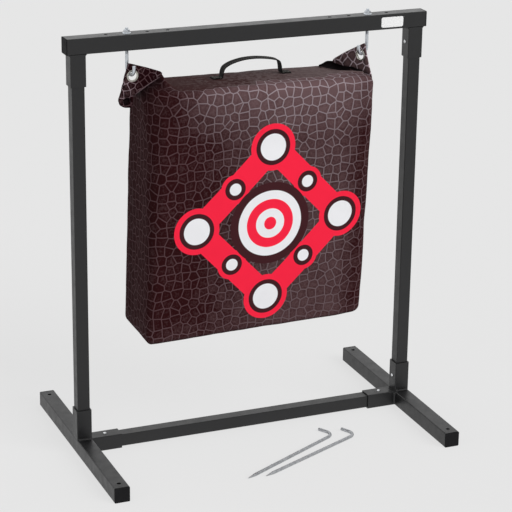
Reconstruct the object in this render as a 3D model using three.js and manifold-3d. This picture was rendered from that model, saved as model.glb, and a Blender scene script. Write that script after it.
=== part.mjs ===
// An archery target stand with its hanging target bag and two ground stakes, in millimetres.
// +Z is up, the top bar runs along X, the front faces -Y, and the floor is z = 0 under the
// middle of the stand. Each mesh is one separate piece of the real thing.

import * as THREE from "three";
import { ConvexGeometry } from "three/addons/geometries/ConvexGeometry.js";
import { mergeVertices } from "three/addons/utils/BufferGeometryUtils.js";
import Module from "manifold-3d";

const wasm = await Module();
wasm.setup();

// The stand
const standHeight = 1030; // floor to the top of the bar
const barLength = 910; // over its end caps
const footLength = 600; // over its end caps
const barOverhang = 27.5; // from the end of the bar to the middle of a post
const tubeSide = 37.5; // outer tube: the bar, the feet and the sleeves
const tubeWall = 3;
const tubeCorner = 2.5; // outside radius of its corners
const sleeveLength = 76;
const slipFit = 0.3; // clearance on each side of a tube in its sleeve
const postWall = 1.8; // wall of the tubes that slip into the sleeves
const postCorner = 2;
const postPlay = 0.3; // clearance at each end of the cross tube
const weldLeg = 4; // fillet weld at the foot of each sleeve
const stakeHoleInset = 24; // from the end of a foot to the centre of its stake hole
const stakeHole = 10; // diameter
const hookHole = 9; // diameter of the holes in the bar
const hookHolePitch = 50;
const hookHoleCount = 4; // holes on each side of the middle
const hookHoleUsed = 2; // holes between the middle of the bar and the one that holds the hook

// End caps of the open outer tubes
const capHead = 2.5; // thickness of the square head
const capFit = 0.4; // clearance of the plug in the tube
const capPlug = 14; // depth of the plug
const capRib = 1.2; // height of a rib along the plug
const capRibProud = 0.2;
const capRibCount = 3;

// Spring catches, one in each slip joint
const catchHole = 11; // diameter in the sleeve
const catchPin = 9; // diameter of the button
const catchFit = 0.3; // clearance of the button in the inner tube and at its seat
const catchProud = 3; // height of the button above the sleeve
const catchDome = 2.8; // height of its domed end
const catchFlange = 12; // diameter of its foot
const catchFlangeThick = 1;
const leafThick = 0.8;
const leafWidth = 12;
const leafLength = 44;

// Hanging hooks and their nuts
const hookOut = 26; // from the side of the bag to the middle of the hook's shank
const hookRod = 8; // diameter
const hookBend = 16; // radius of the J at the centre of the rod
const hookDrop = 94.5; // from the top of the bar to the centre of the rod at the bottom of the J
const hookTip = 7.5; // straight end beyond the J
const hookChamfer = 0.8; // at the thread's end
const hookAbove = 13; // thread end above the bar
const hookTurnAngles = { left: 78, right: 28 }; // degrees from straight inwards to the front
const nutSides = 6;
const nutFlat = 13; // across the flats
const nutHeight = 6.5;
const nutFlange = 20; // diameter
const nutFlangeThick = 1.8;
const nutFit = 0.2; // clearance on the thread

// Target bag
const bagWidth = 558;
const bagDepth = 212;
const bagHeight = 599;
const bagHang = 33.5; // from the bottom of the J down to the top of the bag
const bagTopEdge = 24; // rounding of the top edges
const bagBottomEdge = 14;
const bagTopCorner = 30; // rounding of the upright front edges at their top
const bagBottomCorner = 16;
const bagBackCorner = 42;
const bagCrown = 6; // rise of the middle of the top
const bagSag = 4; // drop of the middle of the bottom
const bagBelly = 8; // bulge of the front and the back
const bagSideBelly = 4;
const bagShift = -8.5; // of the middle of the bag from the middle of the bar
const bagLean = 23; // sideways shift from the bottom to the top
const bagBottomRise = 12; // height of the bottom's right end over its left end
const bagBottomDroop = 6; // height of the bottom's back edge over its front edge
const bagTopRise = 14; // height of the top's front edge over its back edge
const coverThick = 1.5;
const fillGap = 0.3; // between the cover and its filling
const seamLength = 180; // filling seam along the bottom
const seamWidth = 4;

// Ears of the bag and their grommets
const earSize = 110; // the size that the ear outlines are shares of
const earThick = 3;
const earGap = 0.3; // to the cover that it is folded from
const earTurnAngles = { left: 0, right: 65.7 }; // degrees that the ears are turned about Z
const grommetHole = 21; // diameter
const grommetRim = 29; // diameter
const grommetBarrel = 0.9; // wall of the barrel
const grommetLip = 1.2; // thickness of the rolled rim on the ear
const grommetFit = 0.3; // clearance of the barrel in the ear
const grommetFlare = 1.3; // how far the bore widens towards its ends
const hangGapLeft = 0.95; // between the left hook's rod and the grommet on it
const hangGapRight = 0.4;
const hangAngle = 35; // degrees below level at which the grommet hangs off the rod

// Carrying handle
const strapThick = 3;
const strapWidth = 24;
const handleSpan = 147.5; // between its legs
const handleRise = 42.5; // from the top of the bag to the middle of the strap
const tabLength = 25; // sewn end beyond each leg
const handlePlace = -1; // from the middle of the bar

// Ground stakes
const stakeRod = 8; // diameter
const stakeShank = 310; // from the point to the bend
const stakePoint = 26; // length of the taper
const stakeTip = 1; // diameter at the end of the taper
const stakeBend = 22; // radius at the centre of the rod
const stakeBendAngle = 92; // degrees
const stakeLeg = 24; // straight end beyond the bend
const stakeLift = 4; // height of the centre of a stake on the floor
const stakeTipLeftX = -111; // where the left stake's point lies on the floor
const stakeTipLeftY = -293;
const stakeTipRightX = -67;
const stakeTipRightY = -297;
const stakeTurnAngles = { left: 28, right: 25 }; // degrees from +X

// Fineness of the round forms
const cornerSteps = 3;
const plugCornerSteps = 1;
const holeSides = 14;
const rodSides = 12;
const bendSteps = 12;
const buttonSides = 16;
const domeSteps = 3;
const ringSides = 24;
const strapSteps = 36;
const leafSteps = 18;
const bagLongSteps = 8; // along the front and the back
const bagShortSteps = 3; // along the sides
const bagCornerSteps = 3;
const bagEdgeSteps = 3;
const bagSideSteps = 8; // up the sides
const bagCapSteps = 3; // from the edge to the middle of the top and the bottom

const overrun = 5; // how far a cutter runs past what it cuts
const mergeDistance = 1e-4;

// Worked out from the sizes above
const postSide = tubeSide - 2 * (tubeWall + slipFit);
const postLength = standHeight - 2 * tubeSide;
const postX = barLength / 2 - barOverhang;
const footFace = postX - tubeSide / 2; // inner side of a foot
const barUnderside = standHeight - tubeSide;
const hookPlace = bagWidth / 2 + hookOut;
const hookHoleFirst = hookPlace - hookHoleUsed * hookHolePitch;
const hookBottom = standHeight - hookDrop;
const bagTop = hookBottom - bagHang;
const bagBottom = bagTop - bagHeight;
const quarter = Math.PI / 2;

const colours = {
  steel: { color: 0x2b2b2c, roughness: 0.55, metalness: 0.2 },
  plastic: { color: 0x1a1a1b, roughness: 0.6, metalness: 0 },
  zinc: { color: 0xb9bec4, roughness: 0.35, metalness: 0.9 },
  chrome: { color: 0xd6d8da, roughness: 0.2, metalness: 1 },
  spring: { color: 0x6f7173, roughness: 0.4, metalness: 0.9 },
  cover: { color: 0x4a2b2d, roughness: 0.75, metalness: 0 },
  filling: { color: 0xb9b3a6, roughness: 0.95, metalness: 0 },
  webbing: { color: 0x111111, roughness: 0.8, metalness: 0 },
  galvanised: { color: 0x9a9c9e, roughness: 0.4, metalness: 0.9 },
};

function radians(degrees) {
  return (degrees * Math.PI) / 180;
}

// A closed three.js geometry as a manifold-3d solid, and back.
function solidOf(geometry) {
  const bare = geometry.clone();
  for (const name of Object.keys(bare.attributes)) {
    if (name !== "position") bare.deleteAttribute(name);
  }
  const merged = mergeVertices(bare, mergeDistance);
  return new wasm.Manifold(
    new wasm.Mesh({
      numProp: 3,
      vertProperties: new Float32Array(merged.attributes.position.array),
      triVerts: new Uint32Array(merged.index.array),
    }),
  );
}

function geometryOf(solid) {
  const mesh = solid.getMesh();
  const geometry = new THREE.BufferGeometry();
  geometry.setAttribute("position", new THREE.BufferAttribute(mesh.vertProperties, 3));
  geometry.setIndex(new THREE.BufferAttribute(mesh.triVerts, 1));
  const flat = geometry.toNonIndexed();
  flat.computeVertexNormals();
  return flat;
}

function cut(geometry, cutters) {
  const left = cutters.reduce((solid, cutter) => solid.subtract(solidOf(cutter)), solidOf(geometry));
  return geometryOf(left);
}

function join(geometries) {
  const [first, ...rest] = geometries.map(solidOf);
  return geometryOf(rest.reduce((solid, piece) => solid.add(piece), first));
}

function piece(name, geometry, finish) {
  const mesh = new THREE.Mesh(geometry, new THREE.MeshStandardMaterial(colours[finish]));
  mesh.name = name;
  return mesh;
}

// A square outline with round corners, centred on the origin.
function roundedSquare(side, radius, steps = cornerSteps) {
  const half = side / 2;
  const flat = half - radius;
  const outline = new THREE.Path();
  outline.moveTo(flat, -half);
  outline.absarc(flat, -flat, radius, -quarter, 0);
  outline.absarc(flat, flat, radius, 0, quarter);
  outline.absarc(-flat, flat, radius, quarter, 2 * quarter);
  outline.absarc(-flat, -flat, radius, 2 * quarter, 3 * quarter);
  outline.closePath();
  return outline.getPoints(steps);
}

// A square tube along Z, from z = 0.
function squareTube(side, wall, corner, length) {
  const section = new THREE.Shape(roundedSquare(side, corner));
  section.holes.push(new THREE.Path(roundedSquare(side - 2 * wall, corner / 2)));
  return new THREE.ExtrudeGeometry(section, { depth: length, bevelEnabled: false });
}

// A round cutter along X or Y through a point, from the middle of the tube outwards or right through.
function drill(diameter, length, axis, x, y, z) {
  const cutter = new THREE.CylinderGeometry(diameter / 2, diameter / 2, length, holeSides);
  if (axis === "x") cutter.rotateZ(-quarter);
  if (axis === "z") cutter.rotateX(quarter);
  return cutter.translate(x, y, z);
}

// A hole in the +X wall of a tube along Z, at the given height.
function catchCut(diameter, side, height) {
  return drill(diameter, side, "x", side / 2, 0, height);
}

// The sleeve stands on its weld at z = 0 and opens at the far end. Its catch hole is in the +X wall,
// and its two fillet welds are on the walls across the given axis.
function sleeve(weldAxis) {
  const tube = squareTube(tubeSide, tubeWall, tubeCorner, sleeveLength);
  const bead = new THREE.Shape([
    new THREE.Vector2(0, 0),
    new THREE.Vector2(weldLeg, 0),
    new THREE.Vector2(0, weldLeg),
  ]);
  const beadLength = tubeSide - 2 * tubeCorner;
  const beads = [0, 2 * quarter].map((turn) => {
    const fillet = new THREE.ExtrudeGeometry(bead, { depth: beadLength, bevelEnabled: false });
    fillet.translate(0, 0, -beadLength / 2);
    fillet.rotateX(quarter);
    fillet.translate(tubeSide / 2, 0, 0);
    return fillet.rotateZ(turn + (weldAxis === "y" ? quarter : 0));
  });
  return cut(join([tube, ...beads]), [catchCut(catchHole, tubeSide, sleeveLength / 2)]);
}

function footTube() {
  const length = footLength - 2 * capHead;
  const tube = squareTube(tubeSide, tubeWall, tubeCorner, length);
  const reach = footLength / 2 - stakeHoleInset;
  const holes = [-reach, reach].map((place) =>
    drill(stakeHole, tubeSide + overrun, "y", 0, 0, place + length / 2),
  );
  return cut(tube, holes).translate(0, 0, -length / 2);
}

function topBar() {
  const length = barLength - 2 * capHead;
  const tube = squareTube(tubeSide, tubeWall, tubeCorner, length);
  const holes = [];
  for (let i = 0; i < hookHoleCount; i++) {
    const place = hookHoleFirst + i * hookHolePitch;
    for (const side of [-1, 1]) {
      holes.push(drill(hookHole, tubeSide + overrun, "y", 0, 0, length / 2 + side * place));
    }
  }
  return cut(tube, holes).translate(0, 0, -length / 2);
}

// A tube that slips into sleeves at both ends, with a catch hole near each.
function slipTube(length, holeInset) {
  const tube = squareTube(postSide, postWall, postCorner, length);
  const holes = [holeInset, length - holeInset].map((height) =>
    catchCut(catchPin + 2 * catchFit, postSide, height),
  );
  return cut(tube, holes);
}

// A square plate with round corners, from z = 0 upwards.
function plate(side, thickness, steps) {
  const outline = new THREE.Shape(roundedSquare(side, tubeCorner, steps));
  return new THREE.ExtrudeGeometry(outline, { depth: thickness, bevelEnabled: false });
}

// The cap's head lies on z = 0 and its ribbed plug hangs below.
function endCap() {
  const plugSide = tubeSide - 2 * (tubeWall + capFit);
  const plug = plate(plugSide, capPlug, plugCornerSteps).translate(0, 0, -capPlug);
  const parts = [plate(tubeSide, capHead, cornerSteps), plug];
  for (let i = 1; i <= capRibCount; i++) {
    const rib = plate(plugSide + 2 * capRibProud, capRib, plugCornerSteps);
    parts.push(rib.translate(0, 0, (-capPlug * i) / (capRibCount + 1)));
  }
  return join(parts);
}

// The button points along Z, from the middle of the tube that it is caught in.
function catchButton() {
  const seat = postSide / 2 - postWall - catchFit;
  const top = tubeSide / 2 + catchProud;
  const shoulder = top - catchDome;
  const pin = catchPin / 2;
  const profile = [
    new THREE.Vector2(0, seat - catchFlangeThick),
    new THREE.Vector2(catchFlange / 2, seat - catchFlangeThick),
    new THREE.Vector2(catchFlange / 2, seat),
    new THREE.Vector2(pin, seat),
  ];
  for (let i = 0; i <= domeSteps; i++) {
    const turn = (quarter * i) / domeSteps;
    profile.push(new THREE.Vector2(pin * Math.cos(turn), shoulder + catchDome * Math.sin(turn)));
  }
  profile[profile.length - 1].x = 0;
  return new THREE.LatheGeometry(profile, buttonSides).rotateX(quarter);
}

// A flat strip of even thickness that follows a curve in the XZ plane, centred on y = 0.
function strip(middle, thickness, width, steps) {
  const near = [];
  const far = [];
  for (let i = 0; i <= steps; i++) {
    const at = middle.getPointAt(i / steps);
    const along = middle.getTangentAt(i / steps);
    const across = new THREE.Vector2(-along.y, along.x).multiplyScalar(thickness / 2);
    near.push(at.clone().sub(across));
    far.unshift(at.clone().add(across));
  }
  const outline = new THREE.Shape([...near, ...far]);
  const band = new THREE.ExtrudeGeometry(outline, { depth: width, bevelEnabled: false });
  return band.translate(0, 0, -width / 2).rotateX(quarter);
}

// The leaf spring behind the button: a hairpin with one leg under the button's foot and the other
// on the far wall of the tube.
function catchLeaf() {
  const wall = postSide / 2 - postWall - catchFit;
  const upper = wall - catchFlangeThick - catchFit - leafThick / 2;
  const lower = -wall + leafThick / 2;
  const radius = (upper - lower) / 2;
  const bendX = radius - leafLength / 2;
  const path = new THREE.Path();
  path.moveTo(catchFlange, upper);
  path.lineTo(bendX, upper);
  path.absarc(bendX, (upper + lower) / 2, radius, quarter, 3 * quarter);
  path.lineTo(leafLength / 2, lower);
  return strip(path, leafThick, leafWidth, leafSteps);
}

// A closed skin over rings of points, with a point in the middle of each end. The rings go
// counterclockwise seen from the first one's side.
function skinOver(firstPoint, rings, lastPoint) {
  const around = rings[0].length;
  const last = 1 + rings.length * around;
  const at = (ring, i) => 1 + ring * around + (i % around);
  const faces = [];
  for (let i = 0; i < around; i++) {
    faces.push(0, at(0, i), at(0, i + 1));
    faces.push(last, at(rings.length - 1, i + 1), at(rings.length - 1, i));
    for (let ring = 0; ring + 1 < rings.length; ring++) {
      faces.push(at(ring, i), at(ring + 1, i), at(ring + 1, i + 1));
      faces.push(at(ring, i), at(ring + 1, i + 1), at(ring, i + 1));
    }
  }
  const geometry = new THREE.BufferGeometry();
  const places = [firstPoint, ...rings.flat(), lastPoint].flat();
  geometry.setAttribute("position", new THREE.Float32BufferAttribute(places, 3));
  geometry.setIndex(faces);
  geometry.computeVertexNormals();
  return geometry;
}

// A round rod that comes down along Z through the given heights and radii, and from z = 0 goes into
// a bend towards +X and a straight leg.
function bentRod(shank, bendRadius, turn, leg) {
  const radius = shank[shank.length - 1][1];
  const stations = shank.map(([height, shankRadius]) => [0, height, 0, shankRadius]);
  for (let i = 1; i <= bendSteps; i++) {
    const angle = (turn * i) / bendSteps;
    stations.push([bendRadius * (1 - Math.cos(angle)), -bendRadius * Math.sin(angle), angle, radius]);
  }
  const [endX, endZ] = stations[stations.length - 1];
  stations.push([endX + leg * Math.sin(turn), endZ - leg * Math.cos(turn), turn, radius]);
  const rings = stations.map(([x, z, angle, ringRadius]) =>
    Array.from({ length: rodSides }, (_, i) => {
      const share = i / rodSides;
      const across = ringRadius * Math.cos(4 * quarter * share);
      const side = ringRadius * Math.sin(4 * quarter * share);
      return [x + across * Math.cos(angle), side, z + across * Math.sin(angle)];
    }),
  );
  const first = stations[0];
  const last = stations[stations.length - 1];
  return skinOver([first[0], 0, first[1]], rings, [last[0], 0, last[1]]);
}

function hangingHook() {
  const length = standHeight + hookAbove - hookBottom - hookBend; // above the J
  const radius = hookRod / 2;
  const shank = [[length, radius - hookChamfer], [length - hookChamfer, radius], [0, radius]];
  return bentRod(shank, hookBend, 2 * quarter, hookTip);
}

function groundStake() {
  const radius = stakeRod / 2;
  const shank = [[stakeShank, stakeTip / 2], [stakeShank - stakePoint, radius], [0, radius]];
  return bentRod(shank, stakeBend, radians(stakeBendAngle), stakeLeg);
}

// A hexagonal nut with a round flange, standing on z = 0.
function flangeNut() {
  const corner = nutFlat / Math.sqrt(3);
  const hexagon = new THREE.CylinderGeometry(corner, corner, nutHeight, nutSides);
  hexagon.rotateX(quarter).translate(0, 0, nutHeight / 2 + nutFlangeThick);
  const flange = new THREE.CylinderGeometry(nutFlat / 2, nutFlange / 2, nutFlangeThick, ringSides);
  flange.rotateX(quarter).translate(0, 0, nutFlangeThick / 2);
  const whole = nutHeight + nutFlangeThick;
  const bore = drill(hookRod + 2 * nutFit, whole + 2 * overrun, "z", 0, 0, whole / 2);
  return cut(join([flange, hexagon]), [bore]);
}

// A closed rectangle outline with round corners: the corners hold arcs, the sides even steps.
function bagOutline(halfX, halfY, front, back) {
  const corners = [
    [halfX - back, halfY - back, back],
    [back - halfX, halfY - back, back],
    [front - halfX, front - halfY, front],
    [halfX - front, front - halfY, front],
  ];
  const onArc = ([x, y, radius], turns) => {
    const angle = quarter * turns;
    return [x + radius * Math.cos(angle), y + radius * Math.sin(angle)];
  };
  const points = [];
  corners.forEach((corner, i) => {
    for (let k = 0; k <= bagCornerSteps; k++) points.push(onArc(corner, i + k / bagCornerSteps));
    const from = points[points.length - 1];
    const to = onArc(corners[(i + 1) % corners.length], i + 1);
    const steps = i % 2 === 0 ? bagLongSteps : bagShortSteps;
    for (let k = 1; k < steps; k++) {
      const share = k / steps;
      points.push([from[0] + (to[0] - from[0]) * share, from[1] + (to[1] - from[1]) * share]);
    }
  });
  return points;
}

// The levels of the bag from its bottom to its top: the height, how far the outline is drawn in
// there, and on the top and the bottom the share of the outline that a ring has.
function bagLevels(inset) {
  const low = bagBottom + inset;
  const high = bagTop - inset;
  const lowEdge = bagBottomEdge - inset;
  const highEdge = bagTopEdge - inset;
  const levels = [];
  for (let i = 1; i < bagCapSteps; i++) {
    const share = i / bagCapSteps;
    levels.push({ z: low - bagSag * (1 - share * share), draw: lowEdge, share });
  }
  for (let i = 0; i <= bagEdgeSteps; i++) {
    const angle = (quarter * i) / bagEdgeSteps;
    const draw = lowEdge * (1 - Math.sin(angle));
    levels.push({ z: low + lowEdge * (1 - Math.cos(angle)), draw, share: 1 });
  }
  for (let i = 1; i < bagSideSteps; i++) {
    const rise = (high - highEdge - low - lowEdge) * (i / bagSideSteps);
    levels.push({ z: low + lowEdge + rise, draw: 0, share: 1 });
  }
  for (let i = bagEdgeSteps; i >= 0; i--) {
    const angle = (quarter * i) / bagEdgeSteps;
    const draw = highEdge * (1 - Math.sin(angle));
    levels.push({ z: high - highEdge * (1 - Math.cos(angle)), draw, share: 1 });
  }
  for (let i = bagCapSteps - 1; i > 0; i--) {
    const share = i / bagCapSteps;
    levels.push({ z: high + bagCrown * (1 - share * share), draw: highEdge, share });
  }
  return levels;
}

function bagRiseAt(z) {
  return THREE.MathUtils.clamp((z - bagBottom) / (bagTop - bagBottom), 0, 1);
}

// Where a point of the straight-sided bag comes to lie: full in the middle of its walls, leaning, and
// with a bottom and a top that aren't quite level.
function bagPlace(x, y, z) {
  const rise = bagRiseAt(z);
  const full = Math.sin(Math.PI * rise);
  const overX = (2 * x) / bagWidth;
  const overY = (2 * y) / bagDepth;
  const bulgeX = bagSideBelly * full * (1 - Math.min(1, overY * overY)) * overX;
  const bulgeY = bagBelly * full * (1 - Math.min(1, overX * overX)) * overY;
  const across = (bagBottomRise * (1 + overX) + bagBottomDroop * overY) / 2;
  const tilt = across * (1 - rise) - (bagTopRise * overY * rise) / 2;
  return [x + bulgeX + bagShift + bagLean * (rise - 1 / 2), y + bulgeY, z + tilt];
}

// The stuffed form of the bag, drawn in by the given inset: one skin from its bottom to its top.
function bagSkin(inset) {
  const halfX = bagWidth / 2 - inset;
  const halfY = bagDepth / 2 - inset;
  const rings = bagLevels(inset).map(({ z, draw, share }) => {
    const upright = THREE.MathUtils.lerp(bagBottomCorner, bagTopCorner, bagRiseAt(z));
    const [front, back] = [upright, bagBackCorner].map((corner) =>
      Math.max(corner - inset - draw, corner / bagCornerSteps),
    );
    const outline = bagOutline(halfX - draw, halfY - draw, front, back);
    return outline.map(([x, y]) => bagPlace(x * share, y * share, z));
  });
  const top = bagPlace(0, 0, bagTop - inset + bagCrown);
  const bottom = bagPlace(0, 0, bagBottom + inset - bagSag);
  return skinOver(top, rings.reverse(), bottom);
}

// The sewn cover, left open at the filling seam along the bottom.
function bagCover() {
  const depth = bagSag + coverThick + bagBottomRise;
  const seam = new THREE.BoxGeometry(seamLength, seamWidth, depth);
  seam.translate(bagShift - bagLean / 2, 0, bagBottom - bagSag + depth / 2);
  return cut(bagSkin(0), [bagSkin(coverThick), seam]);
}

// Outlines of the ears in their own plane, from the rod at the bottom of the J: x runs towards the
// middle of the bag, and the points that end inside the bag are cut away by its cover.
const earShares = {
  left: [
    [-0.05, 0.25],
    [0.23, 0.17],
    [0.67, 0.01],
    [0.76, -0.12],
    [0.8, -0.5],
    [0, -0.74],
    [-0.17, -0.7],
    [-0.25, -0.58],
  ],
  right: [
    [-0.055, 0.245],
    [0.3, 0.06],
    [0.7, -0.2],
    [0.82, -0.34],
    [0.6, -0.5],
    [-0.1, -0.56],
    [-0.24, -0.47],
    [-0.15, -0.1],
  ],
};

// The gathered corner under the left ear, whose ridge is the crease below the grommet.
const gatherShares = [
  [0.66, 0.02, -0.02],
  [0.03, 0.02, -0.5],
  [0.86, -0.72, -0.36],
  [0.24, -0.74, -0.58],
  [0.65, 0.18, -0.05],
  [0.95, 0.3, -0.4],
  [0.08, 0.22, -0.52],
  [0.36, -0.3, -1],
];

// An ear in its own frame: x towards the middle of the bag, y along its normal to the back.
function ear(side) {
  const outline = earShares[side].map(([x, z]) => new THREE.Vector2(x * earSize, z * earSize));
  const flap = new THREE.ExtrudeGeometry(new THREE.Shape(outline), { depth: earThick, bevelEnabled: false });
  flap.translate(0, 0, -earThick / 2).rotateX(quarter);
  if (side === "right") return flap;
  const corners = gatherShares.map(([x, y, z]) => new THREE.Vector3(x, y, z).multiplyScalar(earSize));
  return join([flap, new ConvexGeometry(corners)]);
}

// Turns every triangle of an unindexed geometry round, after it was mirrored.
function flipFaces(geometry) {
  const array = geometry.attributes.position.array;
  for (let i = 0; i < array.length; i += 9) {
    for (let k = 0; k < 3; k++) {
      [array[i + 3 + k], array[i + 6 + k]] = [array[i + 6 + k], array[i + 3 + k]];
    }
  }
}

// The rim with its barrel faces +Z, and the washer closes it behind the ear.
function grommetRing() {
  const inner = grommetHole / 2;
  const face = earThick / 2 + grommetFit;
  const end = face + grommetLip;
  const rim = grommetRim / 2;
  const profile = [
    [inner + grommetFlare, -end],
    [inner + grommetBarrel + grommetFlare / 2, -end],
    [inner + grommetBarrel, -face],
    [inner + grommetBarrel, face],
    [rim, face],
    [rim - grommetLip / 2, face + grommetLip / 2],
    [(inner + rim) / 2, end],
    [inner + grommetFlare, end],
    [inner + grommetFlare / 4, end / 2],
    [inner, 0],
    [inner + grommetFlare / 4, -end / 2],
    [inner + grommetFlare, -end],
  ];
  const points = profile.map(([radius, height]) => new THREE.Vector2(radius, height));
  return new THREE.LatheGeometry(points, ringSides).rotateX(quarter);
}

function grommetWasher() {
  const face = earThick / 2 + grommetFit;
  const inner = grommetHole / 2 + grommetBarrel + grommetFlare / 2 + grommetFit;
  const rim = grommetRim / 2;
  const profile = [
    [inner, -face - grommetLip],
    [rim - grommetLip / 2, -face - grommetLip],
    [rim, -face - grommetLip / 2],
    [rim, -face],
    [inner, -face],
    [inner, -face - grommetLip],
  ];
  const points = profile.map(([radius, height]) => new THREE.Vector2(radius, height));
  return new THREE.LatheGeometry(points, ringSides).rotateX(quarter);
}

// Height of the bag's top along its middle, at a distance from the handle's middle.
function bagTopAt(distance) {
  const flat = bagWidth / 2 - bagTopEdge;
  return bagTop + bagCrown * (1 - (distance / flat) ** 2);
}

// The halves of the handle's arch, from a leg to the middle: how far in, as a share of half the
// span, and how high, as a share of the rise. The right shoulder stands a little squarer.
const archShares = {
  left: [
    [0.01, 0.4],
    [0.09, 0.63],
    [0.32, 0.83],
    [0.66, 0.97],
  ],
  right: [
    [0.01, 0.52],
    [0.08, 0.75],
    [0.3, 0.88],
    [0.66, 0.98],
  ],
};

// Half of the handle's path, from the end of its tab: distance from the middle, and height.
function handleHalf(shares) {
  const half = handleSpan / 2;
  const lie = strapThick / 2;
  return [
    [half + tabLength, bagTopAt(half + tabLength) + lie],
    [half + tabLength / 2, bagTopAt(half) + lie],
    [half + strapThick, bagTopAt(half) + lie],
    ...shares.map(([inward, up]) => [half * (1 - inward), bagTopAt(half) + handleRise * up]),
  ];
}

// The webbing handle: sewn down at both ends, up in two legs, and over in a flat arch.
function handle() {
  const path = [
    ...handleHalf(archShares.left).map(([x, z]) => [-x, z]),
    [0, bagTopAt(0) + handleRise],
    ...handleHalf(archShares.right).reverse(),
  ];
  const middle = new THREE.SplineCurve(path.map(([x, z]) => new THREE.Vector2(x, z)));
  return strip(middle, strapThick, strapWidth, strapSteps).translate(handlePlace, 0, 0);
}

// Assembly of the frame
const stand = new THREE.Group();

for (const [side, sign] of [["left", -1], ["right", 1]]) {
  const inward = sign < 0 ? 0 : 2 * quarter; // turns a piece's +X towards the middle

  const foot = new THREE.Group();
  foot.position.set(sign * postX, 0, 0);
  stand.add(foot);

  const tube = piece(`foot_tube_${side}`, footTube(), "steel");
  tube.position.set(0, 0, tubeSide / 2);
  tube.rotation.x = -quarter;
  foot.add(tube);

  for (const [end, out] of [["front", -1], ["back", 1]]) {
    const cap = piece(`foot_cap_${side}_${end}`, endCap(), "plastic");
    cap.position.set(0, out * (footLength / 2 - capHead), tubeSide / 2);
    cap.rotation.x = -out * quarter;
    foot.add(cap);
  }

  const socket = piece(`post_socket_${side}`, sleeve("y"), "steel");
  socket.position.z = tubeSide;
  socket.rotation.z = inward;
  foot.add(socket);

  const crossSocket = piece(`cross_socket_${side}`, sleeve("y"), "steel");
  crossSocket.position.set((-sign * tubeSide) / 2, 0, tubeSide / 2);
  crossSocket.rotation.set(0, -sign * quarter, sign < 0 ? 2 * quarter : 0);
  foot.add(crossSocket);

  const post = piece(`post_${side}`, slipTube(postLength, sleeveLength / 2), "steel");
  post.position.set(sign * postX, 0, tubeSide);
  post.rotation.z = inward;
  stand.add(post);

  const barSocket = piece(`bar_socket_${side}`, sleeve("x"), "steel");
  barSocket.position.set(sign * postX, 0, barUnderside);
  barSocket.rotation.set(2 * quarter, 0, inward);
  stand.add(barSocket);

  const barCap = piece(`bar_cap_${side}`, endCap(), "plastic");
  barCap.position.set(sign * (barLength / 2 - capHead), 0, standHeight - tubeSide / 2);
  barCap.rotation.y = sign * quarter;
  stand.add(barCap);

  // Each catch looks along its group's +Z, with the tube along the group's X.
  const catches = [
    ["lower", sign * postX, tubeSide + sleeveLength / 2, [0, -sign * quarter, 0]],
    ["upper", sign * postX, barUnderside - sleeveLength / 2, [0, -sign * quarter, 0]],
    ["cross", sign * (footFace - sleeveLength / 2), tubeSide / 2, [0, 0, 0]],
  ];
  for (const [place, x, z, turn] of catches) {
    const group = new THREE.Group();
    group.position.set(x, 0, z);
    group.rotation.set(...turn);
    group.add(piece(`snap_button_${place}_${side}`, catchButton(), "chrome"));
    group.add(piece(`snap_spring_${place}_${side}`, catchLeaf(), "spring"));
    stand.add(group);
  }

  // The hook's own +X is the way that its tip points.
  const hookTurn = radians(hookTurnAngles[side]);
  const hook = piece(`hook_${side}`, hangingHook(), "zinc");
  hook.position.set(sign * hookPlace, 0, hookBottom + hookBend);
  hook.rotation.z = sign < 0 ? -hookTurn : 2 * quarter + hookTurn;
  stand.add(hook);

  const nut = piece(`hook_nut_${side}`, flangeNut(), "zinc");
  nut.position.set(sign * hookPlace, 0, standHeight);
  stand.add(nut);
}

const bar = piece("top_bar", topBar(), "steel");
bar.position.z = standHeight - tubeSide / 2;
bar.rotation.set(0, quarter, quarter);
stand.add(bar);

const crossLength = 2 * (footFace - postPlay);
const cross = piece("cross_tube", slipTube(crossLength, sleeveLength / 2 - postPlay), "steel");
cross.position.set(-crossLength / 2, 0, tubeSide / 2);
cross.rotation.set(0, quarter, 2 * quarter);
stand.add(cross);

// Assembly of the bag, which hangs in the plane between the two hooks' lowest points
function hangPoint(side, sign) {
  const turn = radians(hookTurnAngles[side]);
  return [sign * (hookPlace - hookBend * Math.cos(turn)), -hookBend * Math.sin(turn)];
}

const bag = new THREE.Group();
const bagY = (hangPoint("left", -1)[1] + hangPoint("right", 1)[1]) / 2;
bag.position.y = bagY;
stand.add(bag);

const clearOfCover = bagSkin(-earGap);
bag.add(piece("bag_cover", bagCover(), "cover"));
bag.add(piece("bag_filling", bagSkin(coverThick + fillGap), "filling"));
bag.add(piece("carry_handle", cut(handle(), [clearOfCover]), "webbing"));

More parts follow.
